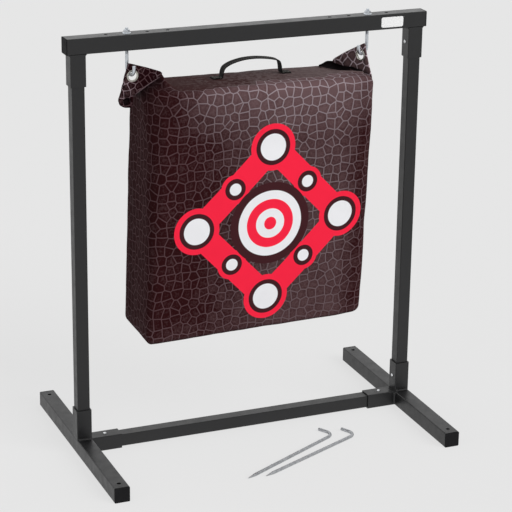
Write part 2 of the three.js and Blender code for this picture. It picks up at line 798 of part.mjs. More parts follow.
for (const [side, sign] of [["left", -1], ["right", 1]]) {
  const [x, y] = hangPoint(side, sign);
  const turn = radians(earTurnAngles[side]);
  const facing = sign < 0 ? -turn : turn; // turns the ear's own frame about Z
  const inwardX = -sign;

  // The grommet's centre in the bag's frame, off the rod towards the middle and down.
  const hang = (grommetHole - hookRod) / 2 - (sign < 0 ? hangGapLeft : hangGapRight);
  const level = hang * Math.cos(radians(hangAngle));
  const down = hang * Math.sin(radians(hangAngle));
  const levelX = inwardX * Math.cos(turn) * level;
  const levelY = Math.sin(turn) * level;
  const centre = new THREE.Vector3(x + levelX, y - bagY + levelY, hookBottom - down);

  const flap = ear(side);
  if (sign > 0) flap.scale(-1, 1, 1);
  if (sign > 0) flipFaces(flap);
  flap.rotateZ(-facing);
  flap.translate(x, y - bagY, hookBottom);

  const hole = drill(grommetHole + 2 * (grommetBarrel + grommetFit), earSize, "y", 0, 0, 0);
  hole.rotateZ(-facing);
  hole.translate(centre.x, centre.y, centre.z);
  bag.add(piece(`bag_ear_${side}`, cut(flap, [clearOfCover, hole]), "cover"));

  for (const [name, make] of [["grommet", grommetRing], ["grommet_washer", grommetWasher]]) {
    const ring = piece(`${name}_${side}`, make(), "chrome");
    ring.position.copy(centre);
    ring.rotation.set(quarter, 0, -facing, "ZYX");
    bag.add(ring);
  }
}

// The two stakes lie on the floor in front, their hooks flat.
for (const [side, tipX, tipY] of [
  ["left", stakeTipLeftX, stakeTipLeftY],
  ["right", stakeTipRightX, stakeTipRightY],
]) {
  const stake = piece(`stake_${side}`, groundStake(), "galvanised");
  const lie = new THREE.Group();
  lie.position.set(tipX, tipY, stakeLift);
  lie.rotation.z = radians(stakeTurnAngles[side]);
  stake.position.x = stakeShank;
  stake.rotation.set(-quarter, 0, quarter, "ZYX");
  lie.add(stake);
  stand.add(lie);
}

export default stand;
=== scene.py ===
import math

import bpy
import numpy as np
from mathutils import Matrix, Vector


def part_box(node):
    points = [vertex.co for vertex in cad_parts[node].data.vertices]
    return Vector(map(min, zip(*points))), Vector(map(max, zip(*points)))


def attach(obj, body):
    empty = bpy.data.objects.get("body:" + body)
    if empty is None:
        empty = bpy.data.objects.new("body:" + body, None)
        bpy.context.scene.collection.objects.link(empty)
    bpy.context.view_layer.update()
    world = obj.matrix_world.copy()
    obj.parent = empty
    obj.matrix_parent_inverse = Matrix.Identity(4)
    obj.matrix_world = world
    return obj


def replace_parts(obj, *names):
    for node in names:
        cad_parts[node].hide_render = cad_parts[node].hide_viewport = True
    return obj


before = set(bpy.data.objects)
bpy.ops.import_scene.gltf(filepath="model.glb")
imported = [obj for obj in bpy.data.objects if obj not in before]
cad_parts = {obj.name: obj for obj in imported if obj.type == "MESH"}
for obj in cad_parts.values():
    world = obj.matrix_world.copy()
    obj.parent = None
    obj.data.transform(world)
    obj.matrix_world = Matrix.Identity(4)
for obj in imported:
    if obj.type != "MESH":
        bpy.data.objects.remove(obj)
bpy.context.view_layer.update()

scene = bpy.context.scene

# The camera stands in front of the stand and to its left, and looks a little down on it through a
# long lens, turned by less than a degree about its own axis.
camera_place = Vector((-1.7399, -4.2236, 2.0647))
camera_azimuth = math.radians(-22.66)
camera_elevation = math.radians(19.45)
camera_roll = math.radians(0.77)
camera_lens = 139.5  # on a sensor 36 mm wide
camera_sight = 100.0


def placed(name, data):
    """An object with that data, in the scene."""
    made = bpy.data.objects.new(name, data)
    scene.collection.objects.link(made)
    return made


camera_data = bpy.data.cameras.new("camera")
camera_data.lens = camera_lens
camera_data.clip_end = camera_sight
camera = placed("camera", camera_data)
camera.matrix_world = (
    Matrix.Translation(camera_place)
    @ Matrix.Rotation(camera_azimuth, 4, "Z")
    @ Matrix.Rotation(math.pi / 2 - camera_elevation, 4, "X")
    @ Matrix.Rotation(camera_roll, 4, "Z")
)
scene.camera = camera

# The studio is a pale floor that runs out into a backdrop of the same grey. Even light comes from all
# sides, with a soft lamp high in front on the right and a weak one low on the left. The floor keeps a
# faint shadow of the stand, and metal sees a room that is darker in front and lighter above.
backdrop_grey = 0.791
shadow_share = 0.14  # part of the floor's brightness that a shadow can take away
sky_level = 0.5
room_level = 0.64
room_slopes = (0.0, 0.26, 0.3)  # how much lighter the room gets to the right, to the back and upwards
floor_size = 80.0
floor_drop = 0.0004  # below the feet, so that no two faces coincide
floor_bounce = 0.5  # part of the floor's brightness that reaches the stand
lamps = {  # direction to the lamp, strength, how wide it looks in degrees, and whether metal sees it
    "key_lamp": ((0.5, -0.72, 0.5), 2.1, 40, False),
    "side_lamp": ((-0.95, -0.22, 0.2), 0.42, 30, True),
}


def node(tree, kind, inputs=(), **settings):
    """Adds a shader node: inputs maps its sockets to plain values or to other nodes' sockets."""
    made = tree.nodes.new(kind)
    for name, value in settings.items():
        setattr(made, name, value)
    for socket, value in dict(inputs).items():
        if isinstance(value, bpy.types.NodeSocket):
            tree.links.new(value, made.inputs[socket])
        else:
            made.inputs[socket].default_value = value
    return made


def calc(operation, *values):
    """The output of one Math node over one to three values, of which at least one is a socket."""
    tree = next(value.id_data for value in values if isinstance(value, bpy.types.NodeSocket))
    return node(tree, "ShaderNodeMath", enumerate(values), operation=operation).outputs[0]


def seen_directly(tree):
    """1 for rays from the camera and for those that metal and gloss reflect, else 0."""
    path = node(tree, "ShaderNodeLightPath").outputs
    either = calc("MAXIMUM", path["Is Camera Ray"], path["Is Glossy Ray"])
    return calc("MAXIMUM", either, path["Is Transmission Ray"])


def grey(level):
    """A neutral colour of that linear level."""
    return (level, level, level, 1.0)


def either_shader(share, first, second):
    """Shows the first shader where the share is 0 and the second where it is 1."""
    return node(share.id_data, "ShaderNodeMixShader", {0: share, 1: first.outputs[0], 2: second.outputs[0]})


scene.view_settings.view_transform = "Standard"
world = bpy.data.worlds.new("studio")
world.use_nodes = True
scene.world = world
sky = world.node_tree
sky.nodes.clear()
sky_light = node(sky, "ShaderNodeBackground", {"Color": grey(1.0), "Strength": sky_level})
sky_seen = node(sky, "ShaderNodeBackground", {"Color": grey(backdrop_grey), "Strength": 1})
heading = node(sky, "ShaderNodeNewGeometry").outputs["Position"]
slopes = node(sky, "ShaderNodeVectorMath", {0: heading, 1: room_slopes}, operation="DOT_PRODUCT")
room_light = calc("ADD", slopes.outputs["Value"], room_level)
sky_room = node(sky, "ShaderNodeBackground", {"Color": grey(1.0), "Strength": room_light})
mirrored = node(sky, "ShaderNodeLightPath").outputs["Is Glossy Ray"]
sky_mix = either_shader(mirrored, either_shader(seen_directly(sky), sky_light, sky_seen), sky_room)
node(sky, "ShaderNodeOutputWorld", {"Surface": sky_mix.outputs[0]})

floor_level = sky_level
for name, (direction, strength, width, shines) in lamps.items():
    lamp = bpy.data.lights.new(name, "SUN")
    lamp.energy = strength
    lamp.angle = math.radians(width)
    towards = Vector(direction).normalized()
    stand = placed(name, lamp)
    stand.rotation_mode = "QUATERNION"
    stand.rotation_quaternion = towards.to_track_quat("Z", "Y")
    stand.visible_glossy = shines
    floor_level += strength * towards.z / math.pi

half_floor = floor_size / 2
floor_mesh = bpy.data.meshes.new("floor")
square = [(x * half_floor, y * half_floor, -floor_drop) for x, y in ((-1, -1), (1, -1), (1, 1), (-1, 1))]
floor_mesh.from_pydata(square, [], [(0, 1, 2, 3)])
floor = placed("floor", floor_mesh)

floor_paint = bpy.data.materials.new("floor_paint")
floor_paint.use_nodes = True
paint = floor_paint.node_tree
paint.nodes.clear()
glow = node(paint, "ShaderNodeEmission", {"Color": grey(backdrop_grey), "Strength": 1 - shadow_share})
lit_albedo = backdrop_grey * shadow_share / floor_level
shaded = node(paint, "ShaderNodeBsdfDiffuse", {"Color": grey(lit_albedo)})
seen = node(paint, "ShaderNodeAddShader", {0: glow.outputs[0], 1: shaded.outputs[0]})
bounced = node(paint, "ShaderNodeBsdfDiffuse", {"Color": grey(backdrop_grey * floor_bounce)})
floor_mix = either_shader(seen_directly(paint), bounced, seen)
node(paint, "ShaderNodeOutputMaterial", {"Surface": floor_mix.outputs[0]})
floor_mesh.materials.append(floor_paint)

# The frame is square steel tube: two feet with welded sleeves, two posts and a cross tube that slip
# into them, and the top bar. It is powder coated black, with the coat's fine orange peel.
coat_black = (26, 26, 27)
coat_tones = (23, 23, 24), (29, 29, 30)
coat_roughness = 0.43
coat_gloss = (0.36, 0.46)
coat_grain = 1500  # grains per metre
coat_cloud = 45
coat_depth, coat_relief = 0.00012, 0.6
highlight_grey = (74, 74, 75)  # a painted highlight lightens the bar's upper face
highlight_starts = (1.02, 1.029)
highlight_slope = (0.9, 1.0)  # and only where that face looks up


def linear(colour):
    """A colour written as 0 to 255 on the screen, as the shader's linear values."""
    screen = np.asarray(colour) / 255
    low, high = screen / 12.92, ((screen + 0.055) / 1.055) ** 2.4
    return (*np.where(screen <= 0.04045, low, high).tolist(), 1.0)


def finish(name, colour, roughness, metallic=0.0, **sockets):
    """A material with its plain values on the shader's own sockets, and its shader."""
    material = bpy.data.materials.new(name)
    material.use_nodes = True
    shader = material.node_tree.nodes["Principled BSDF"]
    shader.inputs["Base Color"].default_value = linear(colour)
    shader.inputs["Roughness"].default_value = roughness
    shader.inputs["Metallic"].default_value = metallic
    for socket, value in sockets.items():
        shader.inputs[socket.replace("_", " ")].default_value = value
    return material, shader


def feed(shader, socket, value):
    """Links a worked-out value to one of the shader's sockets."""
    shader.id_data.links.new(value, shader.inputs[socket])


def place_of(shader):
    """Where a point of the piece is, in metres in the stand's own frame."""
    return node(shader.id_data, "ShaderNodeTexCoord").outputs["Object"]


def apart(place):
    """The X, Y and Z of a place."""
    return node(place.id_data, "ShaderNodeSeparateXYZ", {0: place}).outputs


def noise(where, scale, detail=2.0):
    """Soft noise from 0 to 1, with that many clouds per metre."""
    inputs = {"Vector": where, "Scale": scale, "Detail": detail}
    return node(where.id_data, "ShaderNodeTexNoise", inputs).outputs["Fac"]


def spread(value, low, high, from_low=0.3, from_high=0.7):
    """Stretches a value between two limits on to the range from low to high."""
    inputs = {"Value": value, "From Min": from_low, "From Max": from_high, "To Min": low, "To Max": high}
    return node(value.id_data, "ShaderNodeMapRange", inputs).outputs["Result"]


def blend(share, first, second):
    """A colour between two, given as screen colours or sockets."""
    first, second = (c if isinstance(c, bpy.types.NodeSocket) else linear(c) for c in (first, second))
    return node(share.id_data, "ShaderNodeMix", {0: share, 6: first, 7: second}, data_type="RGBA").outputs[2]


def bump(shader, height, depth, strength=1.0, under=None):
    """Raises the surface by a height from 0 to 1 times the depth, over another bump if given."""
    inputs = {"Height": height, "Distance": depth, "Strength": strength}
    if under is not None:
        inputs["Normal"] = under
    made = node(shader.id_data, "ShaderNodeBump", inputs).outputs["Normal"]
    feed(shader, "Normal", made)
    return made


def cloudy_gloss(shader, scale, low, high, detail=2.0):
    """Lets the roughness drift between two values in soft clouds, that many per metre."""
    feed(shader, "Roughness", spread(noise(place_of(shader), scale, detail), low, high))


coat, shader = finish("powder_coat", coat_black, coat_roughness)
where = place_of(shader)
clouds = noise(where, coat_cloud)
cloudy_black = blend(spread(clouds, 0.0, 1.0), *coat_tones)
# painted highlight: the bar's upper face is painted lighter where it looks up
facing_up = apart(node(shader.id_data, "ShaderNodeNewGeometry").outputs["Normal"])[2]
highlight_height = spread(apart(where)[2], 0.0, 1.0, *highlight_starts)
top_highlight = calc("MULTIPLY", spread(facing_up, 0.0, 1.0, *highlight_slope), highlight_height)
feed(shader, "Base Color", blend(top_highlight, cloudy_black, highlight_grey))
feed(shader, "Roughness", spread(clouds, *coat_gloss))
bump(shader, noise(where, coat_grain), coat_depth, coat_relief)


def dress(names, material):
    """Gives CAD pieces another material."""
    for name in names:
        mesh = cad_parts[name].data
        mesh.materials.clear()
        mesh.materials.append(material)


sides = (("left", -1), ("right", 1))
tubes = ("foot_tube", "post_socket", "cross_socket", "post", "bar_socket")
dress([f"{part}_{side}" for side, sign in sides for part in tubes] + ["top_bar", "cross_tube"], coat)

# Each sleeve is fillet welded on two of its walls. The bead is laid in short overlapping steps, which
# show as ripples through the powder coat.
tube_side = 0.0375
tube_corner = 0.0025
post_x = 0.4275
stand_height = 1.03
bead_leg = 0.0044
bead_bulge = 0.0009
bead_ripple = 0.00035
bead_step = 0.0026
bead_rows = 90
bead_columns = 13
bead_slant = 0.35  # how far a ripple runs ahead in the middle of the bead
bead_squareness = 1.5


def ring_closed(grid):
    """A grid with its first column once more after its last."""
    return np.concatenate([grid, grid[:, :1]], axis=1)


def surface(name, grid, around=True, capped=True, uv=None, sharp=35, facing=None):
    """A smooth piece over a grid of points (rows, columns, 3). Cell (i, j) is the quad between rows i
    and i + 1 and columns j and j + 1; around joins the last column to the first, and capped closes
    each end row with a fan to its mean. uv is given for each cell corner, (rows, columns + 1, 2). The
    faces are turned outwards, and those of an open sheet the way that it faces."""
    rows, columns = grid.shape[:2]
    index = np.arange(rows * columns).reshape(rows, columns)
    if around:
        index = ring_closed(index)

    def cells(values):
        corners = [values[:-1, :-1], values[:-1, 1:], values[1:, 1:], values[1:, :-1]]
        return np.stack(corners, axis=2).reshape(-1, 4, *values.shape[2:])

    quads = cells(index)
    points = grid.reshape(-1, 3)
    fans = np.zeros((0, 3), int)
    if capped:
        first, last = index[0], index[-1]
        middle = np.full(len(first) - 1, len(points))
        fans = np.vstack([
            np.stack([first[1:], first[:-1], middle], axis=1),
            np.stack([last[:-1], last[1:], middle + 1], axis=1),
        ])
        points = np.vstack([points, grid[0].mean(axis=0), grid[-1].mean(axis=0)])
    a, b, c, d = (points[quads[:, k]] for k in range(4))
    near, far = np.cross(b - a, d - a), np.cross(d - c, b - c)
    volume = np.sum((a - points[0]) * near) + np.sum((c - points[0]) * far)
    turned = (volume if facing is None else np.dot(near.sum(axis=0), facing)) < 0
    if turned:
        quads, fans = quads[:, ::-1], fans[:, ::-1]
    mesh = bpy.data.meshes.new(name)
    mesh.from_pydata(points, [], quads.tolist() + fans.tolist())
    if uv is not None:
        spots = cells(uv)
        spots = spots[:, ::-1] if turned else spots
        fan_spots = np.repeat(np.stack([uv[0].mean(axis=0), uv[-1].mean(axis=0)]), 3 * len(fans) // 2, axis=0)
        flat = np.concatenate([spots.reshape(-1, 2), fan_spots[: 3 * len(fans)]])
        mesh.uv_layers.new(name="cut").data.foreach_set("uv", flat.astype(np.float32).ravel())
    mesh.shade_smooth()
    mesh.set_sharp_from_angle(angle=math.radians(sharp))
    return placed(name, mesh)


def one_piece(name, parts):
    """Joins objects of like finish into one piece of that name."""
    with bpy.context.temp_override(active_object=parts[0], selected_editable_objects=parts):
        bpy.ops.object.join()
    parts[0].name = name
    return parts[0]


def weld_bead(start, end, wall_out, plate_out):
    """A bead from start to end in the corner between a sleeve's wall and the plate it stands on: a
    quarter-round fillet whose bulge rises and falls with a sine along the seam."""
    along = np.linspace(0, 1, bead_rows)[:, None, None]
    turn = np.linspace(0, math.pi / 2, bead_columns)[None, :, None]
    length = np.linalg.norm(np.subtract(end, start))
    full = np.sin(2 * turn)
    wave = np.abs(np.sin(math.pi * (along * length / bead_step + bead_slant * full)))
    ends = np.sqrt(np.minimum(1, np.minimum(along, 1 - along) * length / (2 * bead_leg)))
    reach = ends * (bead_leg + (bead_bulge + bead_ripple * wave) * full)
    base = np.asarray(start) + along * np.subtract(end, start)
    out, down = np.cos(turn) ** bead_squareness, np.sin(turn) ** bead_squareness
    front = base + reach * (out * np.asarray(wall_out) + down * np.asarray(plate_out))
    return surface("bead", np.concatenate([front, base + 0 * front[:, :1]], axis=1), sharp=60)


half = tube_side / 2
flat_half = half - tube_corner
beads = []
for side, sign in sides:
    for out in (-1, 1):
        y = out * half
        x, z = sign * post_x, tube_side
        beads.append(weld_bead((x - flat_half, y, z), (x + flat_half, y, z), (0, out, 0), (0, 0, 1)))
        x = sign * (post_x - half)
        z = half - flat_half
        beads.append(weld_bead((x, y, z), (x, y, half + flat_half), (0, out, 0), (-sign, 0, 0)))
        x = sign * post_x + out * half
        z = stand_height - tube_side
        beads.append(weld_bead((x, -flat_half, z), (x, flat_half, z), (out, 0, 0), (0, 0, -1)))
welds = one_piece("weld_beads", beads)
welds.data.materials.append(coat)
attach(welds, "root")

# The open ends of the feet and the bar are closed with moulded polyethylene plugs, whose square
# heads lie flush. Their matte skin has a fine grain.
plug_black = (27, 27, 28)
plug_plastic, shader = finish("plug_plastic", plug_black, roughness=0.7, Specular_IOR_Level=0.12)
cloudy_gloss(shader, scale=60, low=0.62, high=0.76)
bump(shader, noise(place_of(shader), scale=2600, detail=1.0), depth=0.00008, strength=0.5)
dress([f"foot_cap_{side}_{end}" for side, sign in sides for end in ("front", "back")], plug_plastic)
dress([f"bar_cap_{side}" for side, sign in sides], plug_plastic)

# A catch holds each slip joint: a bright domed button, pushed out through the sleeve by a leaf spring
# inside the inner tube.
button_radius = 0.0045
button_foot = 0.006
button_foot_low = 0.01205  # heights from the middle of the tube
button_foot_high = 0.01305
button_dome_low = 0.01895
button_top = 0.02175
nickel_tone = (226, 228, 230)
spring_tone = (120, 122, 125)
sleeve_length = 0.076
fine_sides = 64


def full_turn(count):
    """Even angles round a circle."""
    return np.linspace(0, 2 * math.pi, count, endpoint=False)


def lathe(name, profile, centre, axis, closed=False):
    """A turned piece: the profile's (radius, height) points carried round the axis through centre. A
    closed profile is a ring, whose last point joins its first."""
    profile = np.asarray(profile + profile[:1] if closed else profile, float)
    turn = full_turn(fine_sides)[:, None]
    axis = Vector(axis).normalized()
    side = axis.orthogonal().normalized()
    across = np.cos(turn) * np.array(side) + np.sin(turn) * np.array(axis.cross(side))
    grid = profile[:, None, :1] * across[None] + profile[:, None, 1:] * np.array(axis) + np.array(centre)
    return surface(name, grid, capped=not closed)


def arc(centre, radii, start, end, steps):
    """Points (radius, height) on an arc about a centre, from one angle in degrees to another."""
    turn = np.radians(np.linspace(start, end, steps))
    return [(centre[0] + radii[0] * math.cos(a), centre[1] + radii[1] * math.sin(a)) for a in turn]


nickel, shader = finish("bright_nickel", nickel_tone, roughness=0.16, metallic=1.0)
cloudy_gloss(shader, scale=900, low=0.1, high=0.24)
spring_steel, shader = finish("spring_steel", spring_tone, roughness=0.35, metallic=1.0)
cloudy_gloss(shader, scale=300, low=0.28, high=0.45)

dome_height = button_top - button_dome_low
flange = [(button_foot, button_foot_low), (button_foot, button_foot_high), (button_radius, button_foot_high)]
button_profile = flange + arc((0, button_dome_low), (button_radius, dome_height), start=0, end=88, steps=14)
for side, sign in sides:
    places = {
        "lower": ((sign * post_x, 0, tube_side + sleeve_length / 2), (-sign, 0, 0)),
        "upper": ((sign * post_x, 0, stand_height - tube_side - sleeve_length / 2), (-sign, 0, 0)),
        "cross": ((sign * (post_x - half - sleeve_length / 2), 0, half), (0, 0, 1)),
    }
    for place, (centre, axis) in places.items():
        name = f"{place}_{side}"
        button = lathe(f"button_{name}", button_profile, centre, axis)
        button.data.materials.append(nickel)
        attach(button, f"catch_{name}")
        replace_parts(button, f"snap_button_{name}")
        dress([f"snap_spring_{name}"], spring_steel)

# Two J hooks of 8 mm rod hang through the bar, threaded above for the flange nut that carries each.
# They are zinc plated, and their cut ends are chamfered.
hook_x = 0.305
rod_radius, rod_sides = 0.004, 48
hook_bend = 0.016
hook_low = 0.9355  # middle of the rod at the lowest point of the J
hook_top = 1.043
hook_tip = 0.0075
hook_chamfer = 0.0008
hook_turns = {"left": 78, "right": 28}  # degrees from straight inwards to the front
thread_pitch = 0.00125
thread_depth = 0.00034
thread_low = 0.981
thread_steps = 10  # rows per turn of the thread
zinc_plain = (196, 201, 206)
zinc_tones = (205, 211, 218), (226, 230, 234)
zinc_gloss = (0.3, 0.46)
straight_up = np.array([0, 0, 1])


def unit(vectors):
    """Vectors of length 1 in the same directions."""
    return vectors / np.maximum(np.linalg.norm(vectors, axis=-1, keepdims=True), 1e-12)


def sweep(name, path, radii, side, ridge=None):
    """A round rod along a path that lies in the plane square to side: a circle in each of its points,
    square to the path. The ridge adds a height for each row and turn."""
    other = np.cross(unit(np.gradient(path, axis=0)), side)
    turn = full_turn(rod_sides)
    reach = radii[:, None] + (0 if ridge is None else ridge(turn))
    turn = turn[:, None]
    across = np.cos(turn) * side + np.sin(turn) * other[:, None]
    return surface(name, path[:, None] + reach[:, :, None] * across)


zinc, shader = finish("bright_zinc", zinc_plain, roughness=0.3, metallic=0.9)
where = place_of(shader)
clouds = noise(where, scale=160, detail=4.0)
feed(shader, "Base Color", blend(spread(clouds, 0.0, 1.0), *zinc_tones))
feed(shader, "Roughness", spread(clouds, *zinc_gloss))
bump(shader, noise(where, scale=1800), depth=0.00004, strength=0.5)

hook_centre = hook_low + hook_bend
for side, sign in sides:
    swing = math.radians(hook_turns[side])
    inward = np.array([-sign * math.cos(swing), -math.sin(swing), 0])
    square = np.cross(inward, straight_up)
    heights = np.concatenate([
        [hook_top, hook_top - hook_chamfer],
        np.arange(hook_top - 2 * hook_chamfer, thread_low, -thread_pitch / thread_steps),
        np.linspace(thread_low, hook_centre, 12),
    ])
    shank = np.stack([0 * heights, 0 * heights, heights], axis=1)
    turn = np.linspace(0, math.pi, 40)[1:, None]
    bend = (1 - np.cos(turn)) * hook_bend * inward + (hook_centre - hook_bend * np.sin(turn)) * straight_up
    tip_heights = np.array([hook_tip - hook_chamfer, hook_tip])[:, None]
    tip = 2 * hook_bend * inward + (hook_centre + tip_heights) * straight_up
    path = np.concatenate([shank, bend, tip]) + [sign * hook_x, 0, 0]
    radii = np.full(len(path), rod_radius)
    radii[[0, -1]] -= hook_chamfer

    row_height = path[:, 2:]
    from_ends = np.minimum(row_height - thread_low, hook_top - row_height)
    threaded = np.clip(from_ends / thread_pitch, 0, 1)
    threaded[len(heights):] = 0

    def ridge(turns):
        """A thread's ridge: a triangle wave of the height plus the turn, cut into the rod."""
        phase = (row_height / thread_pitch + turns / (2 * math.pi)) % 1
        return -thread_depth * threaded * np.abs(2 * phase - 1)

    hook = sweep(f"j_hook_{side}", path, radii, square, ridge)
    hook.data.materials.append(zinc)
    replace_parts(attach(hook, "root"), f"hook_{side}")

# A hexagonal flange nut on the bar holds each hook. Its corners are chamfered on a lathe, so its
# upper edge is scalloped.
nut_flat = 0.013
nut_flange = 0.0098
nut_flange_high = 0.0018
nut_top = 0.0083
nut_bore = 0.0042
nut_soft = 0.0006  # by how much its sharp edges are broken
nut_edge_shares = (0.45, 0.8)  # of the flange's height: where its edge starts to turn in, and ends
nut_root, nut_fillet = 0.74, 0.0007  # where the hexagon stands on the flange
nut_face, nut_mouth = 0.96, 1.12  # the flat top's outer and inner edge
nut_chamfer_slope = math.tan(math.radians(28))

turn = full_turn(96)
hex_radius = nut_flat / 2 / np.cos((turn + math.pi / 6) % (math.pi / 3) - math.pi / 6)
chamfered = nut_top - (hex_radius - nut_flat / 2) * nut_chamfer_slope
nut_rows = [  # (radius, height) of each row
    (nut_bore, 0),
    (nut_flange, 0),
    (nut_flange, nut_flange_high * nut_edge_shares[0]),
    (nut_flange - nut_soft, nut_flange_high * nut_edge_shares[1]),
    (np.maximum(hex_radius, nut_flange * nut_root), nut_flange_high),
    (hex_radius, nut_flange_high + nut_fillet),
    (hex_radius, chamfered),
    (nut_flat / 2 * nut_face, nut_top),
    (nut_bore * nut_mouth, nut_top),
    (nut_bore, nut_top - nut_soft),
    (nut_bore, 0),
]
for side, sign in sides:
    x = sign * hook_x
    rows = [[r * np.cos(turn) + x, r * np.sin(turn), h + stand_height + 0 * turn] for r, h in nut_rows]
    nut = surface(f"flange_nut_{side}", np.transpose(rows, (0, 2, 1)), capped=False, sharp=25)
    nut.data.materials.append(zinc)
    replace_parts(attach(nut, "root"), f"hook_nut_{side}")

# The target bag is a sewn woven cover stuffed tight with textile waste: a soft box that leans a little
# as it hangs, full in the middle of its walls, with round edges and softly drawn-in corners.
bag_width = 0.558
bag_depth = 0.212
bag_height = 0.599
bag_top = 0.902
bag_bottom = bag_top - bag_height
bag_top_edge = 0.024
bag_bottom_edge = 0.014
left_corner = (0.013, 0.052)  # radius of the upright edges, at the bottom and at the top
left_corner_gather = 0.055  # more above, where the cover is drawn up to the left ear
left_corner_starts = 0.76
right_corner = (0.026, 0.03)
back_corner = (0.056, 0.042)
bag_crown = 0.006
bag_sag = 0.004
bag_belly = 0.008
bag_side_belly = 0.0005
bag_shift = -0.0085
bag_lean = 0.023
bag_bottom_rise = 0.0095
bag_bottom_droop = 0.0065
bag_corner_rise = 0.004  # of the lower right corner
bag_top_rise = 0.014
bag_top_twist = 0.0035
bag_y = -hook_bend * sum(math.sin(math.radians(a)) for a in hook_turns.values()) / 2
long_steps, short_steps, corner_steps = 122, 38, 14
cap_steps, low_edge_steps, wall_steps, high_edge_steps = 40, 7, 126, 10
bag_swells = [(0.0012, 0.11, 11), (0.0009, 0.045, 12), (0.00035, 0.018, 13)]  # height, size, seed
crease_left, crease_right = 0.02 - bag_width / 2, bag_width / 2 - 0.02
bag_creases = [  # start and end by the cloth's own measure, width and height
    ((crease_left, 0.885), (-0.17, 0.79), 0.008, 0.0022),
    ((crease_left + 0.01, 0.9), (-0.12, 0.85), 0.007, 0.002),
    ((crease_left - 0.01, 0.87), (-0.235, 0.72), 0.008, 0.0018),
    ((crease_right, 0.89), (0.19, 0.77), 0.009, 0.0016),
    ((crease_right + 0.01, 0.88), (0.26, 0.7), 0.007, 0.0018),
    ((crease_left - 0.005, 0.33), (-0.2, 0.42), 0.01, 0.0016),
    ((crease_right, 0.335), (0.2, 0.4), 0.01, 0.0016),
]


def ease(share):
    """A share from 0 to 1 that starts and ends gently."""
    return share * share * (3 - 2 * share)


def lengths(points):
    """How far along a path each of its points lies."""
    return np.concatenate([[0], np.cumsum(np.linalg.norm(np.diff(points, axis=0), axis=1))])


def level_outline(half_x, half_y, left, right, back):
    """The bag's level outline for each row, counterclockwise from the middle of its back: a quarter
    circle at each corner, and between two of them a straight stretch with even steps."""
    corners = [  # centre, radius, and the angle at which the outline comes to the corner
        (back - half_x, half_y - back, back, 90, short_steps),
        (left - half_x, left - half_y, left, 180, long_steps),
        (half_x - right, right - half_y, right, 270, short_steps),
        (half_x - back, half_y - back, back, 0, long_steps // 2),
    ]
    back_middle = last = np.stack([0 * half_x, half_y], axis=-1)
    stretches = []
    steps = long_steps // 2
    for x, y, radius, start, next_steps in corners:
        angle = np.radians(start + np.linspace(0, 90, corner_steps + 1))
        bend = np.stack([x + radius * np.cos(angle), y + radius * np.sin(angle)], axis=-1)
        share = (np.arange(steps) / steps)[None, :, None]
        stretches.append(last * (1 - share) + bend[:, :1] * share)
        stretches.append(bend[:, :-1])
        last = bend[:, -1:]
        steps = next_steps
    share = (np.arange(steps) / steps)[None, :, None]
    stretches.append(last * (1 - share) + back_middle * share)
    return np.concatenate(stretches, axis=1)


def bag_hang(x, y, z):
    """Where a point of the straight-sided bag comes to lie: full in the middle of its walls, leaning,
    and with a bottom and a top that aren't quite level."""
    rise = np.clip((z - bag_bottom) / bag_height, 0, 1)
    full = np.sin(math.pi * rise)
    over_x, over_y = 2 * x / bag_width, 2 * y / bag_depth
    bulge_x = bag_side_belly * full * (1 - np.minimum(1, over_y**2)) * over_x
    bulge_y = bag_belly * full * (1 - np.minimum(1, over_x**2)) * over_y
    across = (bag_bottom_rise * (1 + over_x) + bag_bottom_droop * over_y) / 2
    across = across + bag_corner_rise * np.clip(over_x * 4 - 3, 0, 1)
    tilt = across * (1 - rise) - (bag_top_rise * over_y + bag_top_twist * over_x * (1 + over_y)) * rise / 2
    x, y = x + bulge_x + bag_shift + bag_lean * (rise - 0.5), y + bulge_y + bag_y
    return np.stack([x, y, z + tilt + 0 * x], axis=-1)


def cloudy(points, size, seed):
    """Smooth noise from -1 to 1: random values on a cubic lattice of that size, blended smoothly."""
    lattice = np.random.default_rng(seed).uniform(-1, 1, (32, 32, 32))
    scaled = points / size
    cell = np.floor(scaled).astype(int)
    part = ease(scaled - cell)
    total = 0.0
    for corner in np.ndindex(2, 2, 2):
        weight = np.prod([part[..., k] if corner[k] else 1 - part[..., k] for k in range(3)], axis=0)
        near = (cell + corner) % 32
        total = total + weight * lattice[near[..., 0], near[..., 1], near[..., 2]]
    return total


# rows from the middle of the bottom, over its edge, up the walls and over to the middle of the top
cap_share = np.linspace(0, 1, cap_steps + 1)[1:-1]
low_turn = np.linspace(0, math.pi / 2, low_edge_steps + 1)
high_turn = np.linspace(math.pi / 2, 0, high_edge_steps + 1)
wall_low, wall_high = bag_bottom + bag_bottom_edge, bag_top - bag_top_edge
wall_rise = np.linspace(wall_low, wall_high, wall_steps + 1)[1:-1]
level_z = np.concatenate([
    bag_bottom - bag_sag * (1 - cap_share**2),
    bag_bottom + bag_bottom_edge * (1 - np.cos(low_turn)),
    wall_rise,
    bag_top - bag_top_edge * (1 - np.cos(high_turn)),
    bag_top + bag_crown * (1 - cap_share[::-1] ** 2),
])
level_draw = np.concatenate([
    0 * cap_share + bag_bottom_edge,
    bag_bottom_edge * (1 - np.sin(low_turn)),
    0 * wall_rise,
    bag_top_edge * (1 - np.sin(high_turn)),
    0 * cap_share + bag_top_edge,
])
level_share = np.ones_like(level_z)
level_share[:cap_steps - 1], level_share[1 - cap_steps:] = cap_share, cap_share[::-1]
half_x = (bag_width / 2 - level_draw)[:, None]
half_y = (bag_depth / 2 - level_draw)[:, None]
rise = np.clip((level_z - bag_bottom) / bag_height, 0, 1)
gather = np.clip((rise - left_corner_starts) / (1 - left_corner_starts), 0, 1)
uprights = [low + (high - low) * rise for low, high in (left_corner, right_corner, back_corner)]
uprights[0] += left_corner_gather * ease(gather)
radii = [np.maximum(upright - level_draw, upright / 3)[:, None] for upright in uprights]
